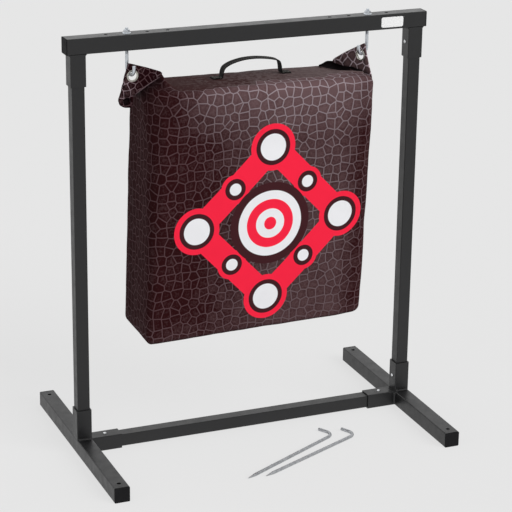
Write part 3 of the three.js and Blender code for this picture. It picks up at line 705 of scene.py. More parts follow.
outline = level_outline(half_x, half_y, *radii) * level_share[:, None, None]
bag_points = bag_hang(outline[..., 0], outline[..., 1], level_z[:, None])

# the cloth's own measure: round the bag from the middle of its front, and up over its edges; the
# bottom and the top are measured straight on from the front
girth = np.stack([lengths(row) for row in ring_closed(outline)])
front_starts = long_steps // 2 + short_steps + 2 * corner_steps
girth += (outline[:, front_starts, 0] - girth[:, front_starts])[:, None]
depth_share = (bag_depth / 2 - level_draw) * level_share
climb = lengths(np.stack([level_z, depth_share], axis=1))
climb += wall_low - climb[len(cap_share) + low_edge_steps]
cloth_uv = np.stack(np.broadcast_arrays(girth, climb[:, None]), axis=-1).copy()
low_rows, top_row = len(cap_share), len(level_z) - len(cap_share)
cloth_uv[:low_rows] = ring_closed(outline[:low_rows] - [0, bag_depth])
over_top = climb[top_row - 1] + bag_depth / 2 - bag_top_edge
cloth_uv[top_row:] = ring_closed(outline[top_row:] + [0, over_top])


def outward(grid):
    """The unit normal at each point of a grid that is closed round its columns."""
    down = np.gradient(grid, axis=0)
    wide = np.concatenate([grid[:, -1:], grid, grid[:, :1]], axis=1)
    return unit(np.cross(wide[:, 2:] - wide[:, :-2], down))


def fold(u, v, start, end, width, height):
    """A soft ridge of cloth along a line on the cover: a bell curve across the line, which rises from
    nothing at its ends."""
    start, end = np.asarray(start), np.asarray(end)
    run = end - start
    length = np.linalg.norm(run)
    along = ((u - start[0]) * run[0] + (v - start[1]) * run[1]) / length**2
    off = ((u - start[0]) * run[1] - (v - start[1]) * run[0]) / length
    fade = np.clip(along * 4, 0, 1) * np.clip((1 - along) * 1.5, 0, 1)
    return height * fade * np.exp(-((off / width) ** 2))


# under the left ear the cover is gathered up into a tent, whose ridge lies behind the ear's crease
ridge_y, ridge_x, ridge_z = -0.010, (-0.298, -0.2255), (0.8795, 0.9355)
brow_y, brow_x, brow_z = -0.096, (-0.275, -0.207), (0.872, 0.896)
fall_left, fall_right, fall_back, fall_front = 3.0, 2.2, 1.2, 1.5
tent_hollow = 0.004
tent_gather, tent_waves = 0.0014, 30
tent_blend = 0.0025
top_starts, top_blend = 0.872, 0.012
tent_shadow, tent_shadow_reach = 0.8, 0.04  # painted shade: the cloth is painted darker in the crease under the ear
tent_shadow_edge = (0.004, 0.01)  # how far beside the ridge that ends, and over what width


def tent_height(x, y):
    """Height of the tent: straight from its ridge down to its brow on the front edge, with gathers
    that fan out below the ridge, and falling away beyond its four sides."""
    down = np.clip((ridge_y - y) / (ridge_y - brow_y), 0, 1)
    left = ridge_x[0] * (1 - down) + brow_x[0] * down
    width = (ridge_x[1] - ridge_x[0]) * (1 - down) + (brow_x[1] - brow_x[0]) * down
    along = (x - left) / width
    inside = np.clip(along, 0, 1)
    high = ridge_z[0] + (ridge_z[1] - ridge_z[0]) * inside
    low = brow_z[0] + (brow_z[1] - brow_z[0]) * inside
    beside = width * (np.maximum(0, -along) * fall_left + np.maximum(0, along - 1) * fall_right)
    beyond = np.maximum(0, y - ridge_y) * fall_back + np.maximum(0, brow_y - y) * fall_front
    soft = np.sin(math.pi * down)
    cloth = soft * (tent_gather * np.sin(tent_waves * inside) - tent_hollow)
    return high * (1 - down) + low * down - beside - beyond + cloth


# in front of the right ear the top is folded down into a pocket; its outline seen from above
pocket_outline = [
    (0.2845, -0.0648), (0.217, -0.031), (0.204, -0.004), (0.198, 0.035), (0.222, 0.062), (0.254, 0.077),
    (0.297, -0.02),
]
pocket_depth = 0.036
pocket_wall = 0.008
pocket_dark = 0.006  # at this depth its inside is painted all dark, as painted shade
pocket_ends = (0.26, 0.27)  # it runs out before the side's rounded edge


def inside_outline(x, y, outline):
    """How far a point lies inside a convex outline, given clockwise seen from above."""
    nearest = np.inf
    for (x0, y0), (x1, y1) in zip(outline, outline[1:] + outline[:1]):
        away = ((x - x0) * (y1 - y0) - (y - y0) * (x1 - x0)) / math.hypot(x1 - x0, y1 - y0)
        nearest = np.minimum(nearest, away)
    return nearest


full_bag = bag_points.copy()
x, y, z = bag_points[..., 0], bag_points[..., 1], bag_points[..., 2]
on_top = np.clip((z - top_starts) / top_blend, 0, 1)
lift = tent_blend * np.logaddexp(0, (tent_height(x, y) - z) / tent_blend)
on_flat = np.clip((pocket_ends[1] - x) / (pocket_ends[1] - pocket_ends[0]), 0, 1)
dent = pocket_depth * on_flat * np.clip(inside_outline(x, y, pocket_outline) / pocket_wall, 0, 1)
bag_points[..., 2] += on_top * (lift - dent)
# painted shade: the crease under the left ear and the inside of the pocket are darkened
in_crease = np.exp(-((np.maximum(0, ridge_y - y) / tent_shadow_reach) ** 2))
beside_crease = np.clip((ridge_x[1] + tent_shadow_edge[0] - x) / tent_shadow_edge[1], 0, 1)
in_pocket = np.clip(on_top * dent / pocket_dark, 0, 1)
bag_painted_shade = np.maximum(tent_shadow * in_crease * beside_crease * on_top, in_pocket)

u, v = girth[:, :-1], climb[:, None]
normals = outward(bag_points)
calm = np.sqrt(level_share)[:, None]
swell = sum(height * cloudy(bag_points, size, seed) for height, size, seed in bag_swells)
creases = sum(fold(u, v, *crease) for crease in bag_creases)
bag_points = bag_points + normals * (swell * calm + creases)[..., None]
bag = surface("target_bag", bag_points, uv=cloth_uv, sharp=180)


def paint_shade(piece, share):
    """Stores painted shade at each point of a piece, from 0 as it is to 1, darkest, in a hollow."""
    values = np.zeros(len(piece.data.vertices), np.float32)
    values[: share.size] = share.ravel()
    piece.data.attributes.new("hollow", "FLOAT", "POINT").data.foreach_set("value", values)


paint_shade(bag, bag_painted_shade)

# The cover is a tight polyester weave. Its front is printed with a pattern of small cells and a plain
# target: rings in the middle of a red diamond with spots on its corners and sides.
target_at = (0.0155, 0.571)
diamond_reach = 0.184
diamond_half_band = 0.03
ring_radii = (0.1, 0.08, 0.059, 0.036, 0.0155)
large_spot = (0.056, 0.043, 0.032)
small_spot = (0.036, 0.0255, 0.0145)
print_edge = 0.0005
print_red, print_white, print_dark = (252, 42, 70), (240, 240, 243), (66, 34, 38)
spot_inks = (print_red, print_dark, print_white)
ring_inks = (print_dark, print_white, print_red, print_white, print_red)

cell_disorder = 0.68
cell_line = (0.036, 0.081)  # in cells: where a line between two of them starts and stops to fade
cell_high, line_low = (102, 80, 82), (82, 60, 63)  # the lightest cells and the darkest lines
cloth_looks = {
    # size of the cells, how much patches, single cells and the cells' middles differ, the darkest
    # cells and the lightest lines
    "bag_cloth": (0.0218, 0.25, 0.14, 0.4, (44, 16, 18), (150, 137, 142)),
    "ear_cloth": (0.0165, 1.0, 0.3, 1.0, (30, 9, 12), (205, 186, 194)),
}
ear_print_share = {"left": 1.0, "right": 0.76}  # the right ear shows larger cells
speck_share, speck_level = 0.26, 0.85

# painted light on the print, how much lighter it is painted: two shares, and the two places that have them
painted_light_side = (0.0, 0.43, -0.175, 0.03)  # it is lighter towards the middle,
painted_light_end = (1.0, 0.2, 0.195, 0.25)
painted_light_top = (0.0, 0.55, 0.765, 0.875)  # towards the top,
painted_light_top_side = (0.0, 1.0, -0.24, -0.15)
painted_light_low = (0.0, 0.2, 0.36, 0.31)  # and a little at the bottom;
painted_light_back = (1.0, 0.0, 0.3, 0.4)  # round the right side it fades out, as painted shade
painted_light_ears = (-0.15, 0.8, -0.2, 0.2)  # painted lighter on the right ear than on the left
ink_share = (0.45, 1.0, 0.3, 0.62)  # painted shade: the lines are fainter towards the bottom
ear_ink = (0.95, 0.2)

panel_left, panel_right = (58, 34, 34), (100, 85, 85)  # the plain top, from left to right: painted lighter to the right, a painted highlight
panel_light_across, panel_blotch, panel_speck = (-0.35, 0.9, -0.2, 0.18), (-0.3, 0.25, 0.42, 0.58), 0.4
# the near black towards which painted shade darkens the cloth
painted_shade_black = (13, 9, 10)
weave_pitch = 0.0009 * math.pi  # length of one of its waves
top_seam = wall_high + 0.036  # on the left; to the right the print runs further over the top's edge
top_seam_turn, top_seam_slope = -0.09, 0.11
top_seam_lift, top_seam_side = 0.03, (0.2, 0.25)
bottom_seam, bottom_seam_edge = wall_low - 0.014, 0.001
tent_fold = 0.256, -0.2316  # the printed tent ends where x + 0.256 y passes -0.2316


def cut_of(shader):
    """Where a point of the piece is by the cloth's own measure, in metres."""
    return node(shader.id_data, "ShaderNodeUVMap", uv_map="cut").outputs[0]


def step_down(value, limit):
    """1 where the value is under the limit and 0 above, with a soft edge."""
    return spread(value, 1.0, 0.0, limit - print_edge, limit + print_edge)


def weave(where):
    """Heights of a plain weave: the higher of two sets of waves across each other."""
    inputs = {"Vector": where, "Scale": math.pi / (10 * weave_pitch)}
    waves = [node(where.id_data, "ShaderNodeTexWave", inputs, bands_direction=axis) for axis in "XY"]
    return calc("MAXIMUM", *(wave.outputs["Fac"] for wave in waves))


def bag_painted_light(right, rise):
    """Painted light on the bag's print, by the cloth's own measure: a share for the side plus one for
    the top, faded out round the back."""
    side = calc("MULTIPLY", spread(right, *painted_light_side), spread(right, *painted_light_end))
    top = calc("MULTIPLY", spread(rise, *painted_light_top), spread(right, *painted_light_top_side))
    front = calc("MULTIPLY", calc("ADD", side, top), spread(right, *painted_light_back))
    return calc("MAXIMUM", front, spread(rise, *painted_light_low))


def with_target(printed, right, rise):
    """The print with the target on it. A point's place is folded into a quarter of the target, and for
    the corner spots into an eighth, and each disc is where the distance from its middle is small."""
    across = calc("ABSOLUTE", calc("SUBTRACT", right, target_at[0]))
    up = calc("ABSOLUTE", calc("SUBTRACT", rise, target_at[1]))
    most, least = calc("MAXIMUM", across, up), calc("MINIMUM", across, up)

    def far(a, b, middle_a, middle_b):
        offset = {0: calc("SUBTRACT", a, middle_a), 1: calc("SUBTRACT", b, middle_b)}
        offset = node(right.id_data, "ShaderNodeCombineXYZ", offset).outputs[0]
        return node(right.id_data, "ShaderNodeVectorMath", {0: offset}, operation="LENGTH").outputs["Value"]

    off_band = calc("ABSOLUTE", calc("SUBTRACT", calc("ADD", across, up), diamond_reach))
    printed = blend(step_down(off_band, diamond_half_band * math.sqrt(2)), printed, print_red)
    for distance, radii, inks in (
        (far(most, least, diamond_reach, 0.0), large_spot, spot_inks),
        (far(across, up, diamond_reach / 2, diamond_reach / 2), small_spot, spot_inks),
        (far(across, up, 0.0, 0.0), ring_radii, ring_inks),
    ):
        for radius, ink in zip(radii, inks):
            printed = blend(step_down(distance, radius), printed, ink)
    return printed


def print_shows(cell_middle, where, rise):
    """1 where the bag is printed, else 0: whole cells up to the top's seam, all of the tent, and
    nothing below the bottom's seam."""
    right, up = apart(cell_middle)[:2]
    beyond = calc("MAXIMUM", 0.0, calc("SUBTRACT", right, top_seam_turn))
    seam = spread(right, top_seam, top_seam + top_seam_lift, *top_seam_side)
    below_top = calc("LESS_THAN", up, calc("MULTIPLY_ADD", beyond, top_seam_slope, seam))
    x, y = apart(where)[:2]
    on_tent = calc("LESS_THAN", calc("MULTIPLY_ADD", y, tent_fold[0], x), tent_fold[1])
    over_bottom = spread(rise, 0.0, 1.0, bottom_seam - bottom_seam_edge, bottom_seam + bottom_seam_edge)
    return calc("MULTIPLY", calc("MAXIMUM", below_top, on_tent), over_bottom)


def cover_cloth(name):
    """The cover's cloth on the piece's own UV map, in metres: printed cells with painted light over them,
    and on the bag the target and a mottled brown top and bottom. In hollows and creases painted shade
    darkens it towards near black."""
    cell_size, patch_share, cell_share, middle_share, cell_low, line_high = cloth_looks[name]
    material, shader = finish(name, panel_left, roughness=0.75, Specular_IOR_Level=0.03)
    tree = shader.id_data
    cut, where = cut_of(shader), place_of(shader)
    right, rise = apart(cut)[:2]
    side = apart(where)[0]
    cells = {"Vector": cut, "Scale": 1 / cell_size, "Randomness": cell_disorder}
    edges = node(tree, "ShaderNodeTexVoronoi", cells, voronoi_dimensions="2D", feature="DISTANCE_TO_EDGE")
    edge = edges.outputs["Distance"]
    cell = node(tree, "ShaderNodeTexVoronoi", cells, voronoi_dimensions="2D").outputs
    cell_chance = node(tree, "ShaderNodeSeparateColor", {0: cell["Color"]}).outputs[0]
    specks = spread(noise(where, scale=230, detail=5.0), 0.0, 1.0, 0.36, 0.64)

    # painted light: the print is painted lighter where light falls, and its lines fainter in shade
    painted_light = bag_painted_light(right, rise) if name == "bag_cloth" else spread(side, *painted_light_ears)
    patchy = calc("SUBTRACT", noise(where, scale=30, detail=1.0), 0.5)
    patchy_tone_and_light = calc("MULTIPLY_ADD", patchy, patch_share, painted_light)
    tone = calc("MULTIPLY_ADD", calc("SUBTRACT", cell_chance, 0.5), cell_share, patchy_tone_and_light)
    tone = calc("MULTIPLY_ADD", edge, middle_share, tone)
    tone = calc("MULTIPLY_ADD", calc("SUBTRACT", specks, speck_level), speck_share, tone)
    if name == "bag_cloth":
        ink = calc("MULTIPLY", painted_light, spread(rise, *ink_share))
    else:
        ink = calc("MULTIPLY_ADD", patchy_tone_and_light, *ear_ink)
    body, lines = blend(tone, cell_low, cell_high), blend(ink, line_low, line_high)
    printed = blend(spread(edge, 1.0, 0.0, *cell_line), body, lines)
    if name == "bag_cloth":
        # the plain top: a painted highlight lightens it to the right, with random blotches and specks
        blotch = spread(noise(where, scale=85, detail=4.0), *panel_blotch)
        panel = calc("MULTIPLY_ADD", specks, panel_speck, calc("ADD", spread(side, *panel_light_across), blotch))
        panel = blend(panel, panel_left, panel_right)
        printed = with_target(printed, right, rise)
        printed = blend(print_shows(cell["Position"], where, rise), panel, printed)
    # painted shade: the stored values darken the cloth towards near black
    hollow = node(tree, "ShaderNodeAttribute", attribute_name="hollow").outputs["Fac"]
    feed(shader, "Base Color", blend(hollow, printed, painted_shade_black))
    cloudy_gloss(shader, scale=130, low=0.6, high=0.82, detail=3.0)
    puckers = bump(shader, noise(where, scale=55, detail=3.0), depth=0.0012, strength=0.5)
    bump(shader, weave(cut), depth=0.00012, strength=0.5, under=puckers)
    return material


bag_cloth = cover_cloth("bag_cloth")
ear_cloth = cover_cloth("ear_cloth")
bag.data.materials.append(bag_cloth)
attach(bag, "bag")
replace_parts(bag, "bag_cover", "bag_filling")

# Each upper corner of the cover is folded up into an ear that carries a grommet. The left one hangs
# flat to the front over the tent, with the open roll of its folded side at its lower corner; the
# right one is turned to the middle and stands behind the pocket in the top.
ear_thick = 0.0034
ear_size = 0.11
ear_points, ear_rings, ear_rim_rings = 200, 24, 6
ear_rim_share = 0.08  # the rim's part of the way from the hole to the outline
ear_corner = 0.003
grommet_hole = 0.021
grommet_rim = 0.029
grommet_barrel = 0.0009
grommet_press = 0.006  # how far round its rim the grommet presses the flap flat
ear_turns = {"left": 0.0, "right": 65.7}
ear_outline_shares = {  # x towards the middle of the bag and z up, from the bottom of the J
    "left": [
        (-0.05, 0.255), (0.31, 0.145), (0.66, 0.02), (0.71, -0.03), (0.665, -0.08), (0.12, -0.4),
        (0.04, -0.47), (0.04, -0.6), (0.01, -0.72), (-0.15, -0.7), (-0.25, -0.64), (-0.285, -0.53),
        (-0.24, -0.43), (-0.19, -0.22), (-0.14, -0.01),
    ],
    "right": [
        (-0.055, 0.25), (0.2, 0.115), (0.53, -0.07), (0.78, -0.235), (0.825, -0.3), (0.8, -0.34),
        (0.57, -0.365), (0.23, -0.39), (0.05, -0.42), (-0.05, -0.52), (-0.2, -0.6), (-0.3, -0.58),
        (-0.29, -0.48), (-0.235, -0.35), (-0.15, -0.04),
    ],
}
ear_waves = {"left": (0.0006, 150, 60), "right": (0.0012, 110, 40)}  # height, and how many along x and z
ear_rolls, roll_middle, roll_reach = {"left": 0.0125, "right": 0.0}, (-0.0125, -0.058), (0.016, 0.023)
ear_hollows = {"left": 0.0115, "right": 0.0}  # the roll's open end
hollow_middle, hollow_reach, hollow_edge = (-0.0105, -0.0615), (0.0098, 0.0078), 6
ear_curls, curl_starts = {"left": 0.0, "right": 2.5}, 0.04  # the far corner curls forward
ear_creases = {  # start, end, width and height of each
    "left": [
        ((-0.024, -0.008), (-0.004, -0.046), 0.0035, 0.0026),
        ((-0.03, -0.03), (-0.012, -0.05), 0.003, 0.002),
        ((0.078, -0.001), (-0.02, -0.059), 0.0017, -0.0021),
    ],
    "right": [
        ((0.082, -0.024), (0.062, -0.037), 0.0035, 0.0035),
        ((0.06, -0.01), (0.05, -0.034), 0.004, 0.0035),
        ((0.034, 0.0), (0.03, -0.04), 0.005, 0.002),
    ],
}
# painted shade along creases of each ear
painted_shade_creases = {  # start, end and width of each
    "left": [
        ((0.072, -0.012), (0.008, -0.052), 0.0026),
        ((-0.024, -0.02), (0.0, -0.045), 0.0026),
        ((-0.022, -0.045), (0.004, -0.05), 0.0026),
        ((-0.02, -0.066), (0.0, -0.075), 0.0026),
    ],
    "right": [
        ((0.084, -0.024), (0.066, -0.036), 0.0026),
        ((0.064, -0.012), (0.052, -0.034), 0.0026),
        ((0.0, 0.02), (-0.02, -0.06), 0.0026),
        ((0.07, -0.042), (-0.025, -0.0445), 0.0045),
        ((-0.025, -0.0445), (0.07, -0.042), 0.0045),
    ],
}
# how dark the painted shade is in the creases and in the roll's open end, its limit, and the hollow's depth
# where it is full
crease_dark, hollow_dark, darkest = 0.75, 0.85, 0.9
hollow_dark_depth = 0.011


def along_path(at, length, points):
    """The places at some lengths along a path."""
    return np.stack([np.interp(at, length, column) for column in np.transpose(points)], axis=-1)


def closed_curve(corners, count, soft):
    """Even points along a closed outline whose corners are rounded by smoothing with a bell curve."""
    loop = np.array([*corners, corners[0]], float)
    length = lengths(loop)
    points = along_path(np.linspace(0, length[-1], count, endpoint=False), length, loop)
    offset = np.minimum(np.arange(count), count - np.arange(count)) * length[-1] / count
    weight = np.exp(-((offset / soft) ** 2))
    spectrum = np.fft.fft(weight / weight.sum())[:, None]
    return np.real(np.fft.ifft(np.fft.fft(points, axis=0) * spectrum, axis=0))


def bell(x, z, middle, reach, power=2):
    """1 in the middle of an oval and 0 well outside it."""
    squared = ((x - middle[0]) / reach[0]) ** 2 + ((z - middle[1]) / reach[1]) ** 2
    return np.exp(-(squared ** (power / 2)))


def ear_axes(side, sign):
    """The bottom of the hook, and the directions along the ear to the middle of the bag and behind it."""
    swing, turn = math.radians(ear_turns[side]), math.radians(hook_turns[side])
    root = np.array([sign * (hook_x - hook_bend * math.cos(turn)), -hook_bend * math.sin(turn), hook_low])
    to_middle = np.array([-sign * math.cos(swing), math.sin(swing), 0])
    return root, to_middle, np.array([sign * math.sin(swing), math.cos(swing), 0])


def ear_flap(name, side, sign):
    """A flap of doubled cloth round its grommet hole: on the front and the back, rings between the
    hole and the outline with a round rim. It waves and creases, thickens at the roll, bends back by
    the curl times the square of the distance, and its front is hollowed at the roll's open end."""
    root, to_middle, behind = ear_axes(side, sign)
    low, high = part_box(f"grommet_{side}")
    middle = np.array((low + high) / 2)
    rim = closed_curve(np.array(ear_outline_shares[side]) * ear_size, ear_points, ear_corner)
    centre = np.array([np.dot(middle - root, to_middle), middle[2] - root[2]])
    hole = centre + (grommet_hole / 2 + grommet_barrel) * unit(rim - centre)
    bend = np.linspace(0, math.pi / 2, ear_rim_rings)[1:]
    rim_starts = 1 - ear_rim_share
    rings = np.concatenate([np.linspace(0, rim_starts, ear_rings), 1 - ear_rim_share * np.cos(bend) ** 2])
    plate = hole[None] * (1 - rings[:, None, None]) + rim[None] * rings[:, None, None]
    edge = np.sqrt(1 - np.clip((rings - rim_starts) / ear_rim_share, 0, 1) ** 2)[:, None]
    off_rim = np.linalg.norm(plate - centre, axis=-1) - grommet_rim / 2
    free = np.clip(off_rim / grommet_press, 0, 1)

    x, z = plate[..., 0], plate[..., 1]
    height, along_x, along_z = ear_waves[side]
    lift = height * np.sin(along_x * x + along_z * z)
    lift = lift - sum(fold(x, z, *crease) for crease in ear_creases[side])
    lift = lift - ear_curls[side] * np.clip(x - curl_starts, 0, 1) ** 2
    hollow = ear_hollows[side] * bell(x, z, hollow_middle, hollow_reach, hollow_edge)
    thick = (ear_thick + ear_rolls[side] * bell(x, z, roll_middle, roll_reach) * free) * edge / 2
    flat = root + plate[..., :1] * to_middle + plate[..., 1:] * straight_up
    front = flat + (lift * free - thick + hollow * edge)[..., None] * behind
    back = flat + (lift * free + thick)[..., None] * behind
    cut = ring_closed(np.concatenate([plate, plate[-2::-1]])) * ear_print_share[side]
    flap = surface(name, np.concatenate([front, back[-2::-1]]), capped=False, uv=cut, sharp=180)
    # painted shade in the creases and in the roll's open end
    shade = sum(fold(x, z, *crease, crease_dark) for crease in painted_shade_creases[side])
    paint_shade(flap, np.clip(hollow_dark * np.clip(hollow / hollow_dark_depth, 0, 1) + shade, 0, darkest))
    return flap


for side, sign in sides:
    flap = ear_flap(f"ear_flap_{side}", side, sign)
    flap.data.materials.append(ear_cloth)
    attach(flap, "bag")
    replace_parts(flap, f"bag_ear_{side}")

# A narrow welt of the cover's own cloth is sewn along the crease under the left ear's flap. It is a
# cord painted lighter, a painted highlight along the edge, that thins out at both ends.
welt_shares = [(0.64, -0.1), (0.424, -0.215), (0.201, -0.35), (0.09, -0.43)]
welt_rows = 60
welt_radius, welt_end = 0.0013, 0.25
welt_bluntness = 0.3
welt_proud = 0.0009
welt_highlight = (84, 64, 68)
welt_highlight_tones = (50, 30, 33), (122, 102, 107)

welt_cloth, shader = finish("welt_cloth", welt_highlight, roughness=0.7, Specular_IOR_Level=0.03)
feed(shader, "Base Color", blend(noise(place_of(shader), scale=260, detail=3.0), *welt_highlight_tones))
root, to_middle, behind = ear_axes("left", -1)
share = np.linspace(0, 1, welt_rows)
at = along_path(share, np.linspace(0, 1, len(welt_shares)), welt_shares) * ear_size
run = unit(np.gradient(at, axis=0))
across = run[:, 1:] * to_middle - run[:, :1] * straight_up
middle = root + at[:, :1] * to_middle + at[:, 1:] * straight_up - behind * (ear_thick / 2 + welt_proud)
turn = full_turn(16)[None, :, None]
taper = welt_end + (1 - welt_end) * np.sin(math.pi * share) ** welt_bluntness
ring = np.cos(turn) * across[:, None] + np.sin(turn) * behind
welt = surface("ear_welt_left", middle[:, None] + welt_radius * taper[:, None, None] * ring, sharp=180)
welt.data.materials.append(welt_cloth)
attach(welt, "bag")

# The pocket in front of the right ear: the top's cloth turns over a soft lip and hangs down into the
# fold, whose other side is sewn to the foot of the ear. Its inside is darkened with painted shade.
pocket_back = [  # along the foot of the ear, x and z in its own plane,
    (0.12, -0.355), (0.25, -0.335), (0.4, -0.332), (0.57, -0.335), (0.71, -0.33), (0.78, -0.31),
]
pocket_back_end = [  # then on over the bag's top
    (0.246, 0.073, 0.903), (0.232, 0.07, 0.9045), (0.221, 0.059, 0.9045), (0.209, 0.046, 0.905),
    (0.196, 0.036, 0.9055),
]
pocket_lip = [
    (0.272, -0.056), (0.266, -0.0565), (0.2455, -0.046), (0.217, -0.031), (0.205, -0.006), (0.2, 0.016),
    (0.196, 0.036),
]
pocket_columns, pocket_soft = 70, 0.006
flap_share, lip_share = -0.12, 0.1  # the sheet starts before the lip, and has closer rows up to here
flap_rows, fold_rows = 22, 24
flap_drop, flap_reach = 0.004, 0.012
pocket_sag, sag_fullness, sag_ends = 0.014, 0.45, 0.4
lip_lift, lip_height, lip_width = 0.0012, 0.0016, 0.0035
lip_gap = 0.02  # the lip is lower where the fold is narrower than this
# where the painted shade inside the fold starts and fades in, and where it ends before the side
dark_starts, dark_fade = 0.0008, 0.0012
dark_end_bulge, dark_end_y, dark_end_width, dark_end_fade = 0.018, 0.056, 0.016, 0.004


def even_curve(points, count, soft):
    """Even points along an open path, with its corners rounded by a moving average."""
    points = np.asarray(points, float)
    length = lengths(points)
    at = np.linspace(0, length[-1], count)
    reach = np.minimum(1, np.minimum(at, length[-1] - at) / soft)
    shifted = [np.clip(at + offset * reach, 0, length[-1]) for offset in np.linspace(-soft, soft, 9)]
    return sum(along_path(places, length, points) for places in shifted) / len(shifted)


root, to_middle, behind = ear_axes("right", 1)
back_edge = [root + (a * to_middle + b * straight_up) * ear_size for a, b in pocket_back] + pocket_back_end
back_edge = even_curve(back_edge, pocket_columns, pocket_soft)
crown = full_bag[top_row - 4:].reshape(-1, 3)
nearest = [np.argmin(np.hypot(crown[:, 0] - x, crown[:, 1] - y)) for x, y in pocket_lip]
lip_edge = [(x, y, crown[k, 2] + lip_lift) for (x, y), k in zip(pocket_lip, nearest)]
lip_edge = even_curve(lip_edge, pocket_columns, pocket_soft)
along = np.linspace(0, 1, pocket_columns)
across = [np.linspace(flap_share, lip_share, flap_rows), np.linspace(lip_share, 1, fold_rows)[1:]]
across = np.concatenate(across)[:, None]
pocket_grid = lip_edge[None] * (1 - across[..., None]) + back_edge[None] * across[..., None]
gap = np.linalg.norm(back_edge - lip_edge, axis=1)[None]
off_lip = across * gap
sag = np.sin(math.pi * np.clip(across, 0, 1)) ** sag_fullness * np.sin(math.pi * along[None]) ** sag_ends
pocket_grid[..., 2] = (
    np.where(across < 0, lip_edge[None, :, 2], pocket_grid[..., 2])
    + lip_height * np.exp(-((off_lip / lip_width) ** 2)) * np.minimum(1, gap / lip_gap)
    - flap_drop * np.clip(-off_lip / flap_reach, 0, 1)
    - pocket_sag * sag
)
pocket_uv = pocket_grid[..., :2] + [0, 2 * bag_height]  # beyond the print
open_sheet = {"around": False, "capped": False, "facing": straight_up}
pocket = surface("pocket_fold", pocket_grid, uv=pocket_uv, sharp=180, **open_sheet)
x, y = pocket_grid[..., 0], pocket_grid[..., 1]
# painted shade inside the fold
dark_end = pocket_ends[1] + dark_end_bulge * np.clip((y + dark_end_y) / dark_end_width, 0, 1)
in_fold = np.clip((off_lip - dark_starts) / dark_fade, 0, 1)
paint_shade(pocket, in_fold * np.clip((dark_end - x) / dark_end_fade, 0, 1))
pocket.data.materials.append(bag_cloth)
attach(pocket, "bag")

# Nickel plated grommets are pressed through the ears: a rolled rim in front on a thin barrel, which is
# flared over a washer behind.
rim_roll, rim_inset, rim_turn = 0.0016, 0.0002, 0.0006  # height, shift inwards, and depth inside the hole
barrel_flare, flare_drop = 0.0009, 0.0004
flare_end = (0.0016, 0.0002)  # how far out and how far behind the ear the flared edge ends
washer_roll, washer_gap, washer_drop = 0.0012, 0.0007, 0.0001
nickel_grey = (186, 183, 175)
grommet_metal, shader = finish("grommet_metal", nickel_grey, roughness=0.28, metallic=1.0)
cloudy_gloss(shader, scale=700, low=0.2, high=0.36)
face = ear_thick / 2
inner = grommet_hole / 2
outer = grommet_rim / 2
barrel = inner + grommet_barrel
rim_middle = (inner + outer) / 2 - rim_inset
grommet_profile = (
    arc((rim_middle, face), (outer - rim_middle, rim_roll), 0, 180, 18)
    + [(inner, face - rim_turn), (inner, 0.0), (inner, -face)]
    + arc((inner + barrel_flare, -face - flare_drop), (barrel_flare, barrel_flare), 180, 300, 8)
    + [(inner + flare_end[0], -face - flare_end[1]), (barrel, -face + flare_drop), (barrel, face)]
)
washer_middle, washer_half = (inner + outer) / 2 + washer_gap, (outer - inner) / 2 - washer_gap
washer_profile = arc((washer_middle, -face - washer_drop), (washer_half, washer_roll), 0, -180, 14)
for side, sign in sides:
    low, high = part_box(f"grommet_{side}")
    swing = math.radians(ear_turns[side])
    forward = (-sign * math.sin(swing), -math.cos(swing), 0)
    for part, profile in (("grommet", grommet_profile), ("grommet_washer", washer_profile)):
        ring = lathe(f"{part}_ring_{side}", profile, (low + high) / 2, forward, closed=True)
        ring.data.materials.append(grommet_metal)
        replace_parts(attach(ring, "bag"), f"{part}_{side}")

# The carrying handle is a length of 26 mm webbing, sewn flat to the top of the bag at both ends. It
# stands up in two short legs and a flat arch, and its edges are stitched.
strap_thick = 0.0028
strap_width = 0.024
handle_span = 0.1475
handle_rise = 0.0425
tab_length = 0.025
handle_x = -0.001
strap_lift = 0.0006  # the sewn ends lie this far off the top
strap_rows, strap_sides = 260, 40
strap_edge, strap_face = 0.28, 0.5  # how square its section is, from side to side and up
arch_shares = {  # from a leg to the middle: how far in and how high
    -1: [(0.01, 0.4), (0.09, 0.63), (0.32, 0.83), (0.66, 0.97)],
    1: [(0.01, 0.52), (0.08, 0.75), (0.3, 0.88), (0.66, 0.98)],
}


def top_at(x):
    """Height of the bag's top along its middle."""
    flat = bag_width / 2 - bag_top_edge
    return bag_top + bag_crown * (1 - (x / flat) ** 2)


def spline(points, count):
    """A Catmull-Rom curve through the points, as that many points an even way apart."""
    points = np.asarray(points, float)
    padded = np.vstack([points[:1], points, points[-1:]])
    at = np.linspace(0, len(points) - 1 - 1e-9, 40 * len(points))
    k = at.astype(int)
    t = (at - k)[:, None]
    p0, p1, p2, p3 = (padded[k + i] for i in range(4))
    square, cube = 2 * p0 - 5 * p1 + 4 * p2 - p3, 3 * p1 - p0 - 3 * p2 + p3
    curve = 0.5 * (2 * p1 + (p2 - p0) * t + square * t**2 + cube * t**3)
    length = lengths(curve)
    return along_path(np.linspace(0, length[-1], count), length, curve)


half_span = handle_span / 2
foot = top_at(half_span)
lie = strap_thick / 2 + strap_lift
halves = {
    sign: [
        (sign * (half_span + tab_length), top_at(half_span + tab_length) + lie),
        (sign * (half_span + tab_length / 2), foot + lie),
        (sign * (half_span + strap_thick), foot + lie),
        *((sign * half_span * (1 - inward), foot + handle_rise * up) for inward, up in arch_shares[sign]),
    ]
    for sign in (-1, 1)
}
handle_path = halves[-1] + [(0, top_at(0) + handle_rise)] + halves[1][::-1]
strap_line = spline(handle_path, strap_rows)
strap_along = unit(np.gradient(strap_line, axis=0))
strap_up = np.stack([-strap_along[:, 1], strap_along[:, 0]], axis=1)

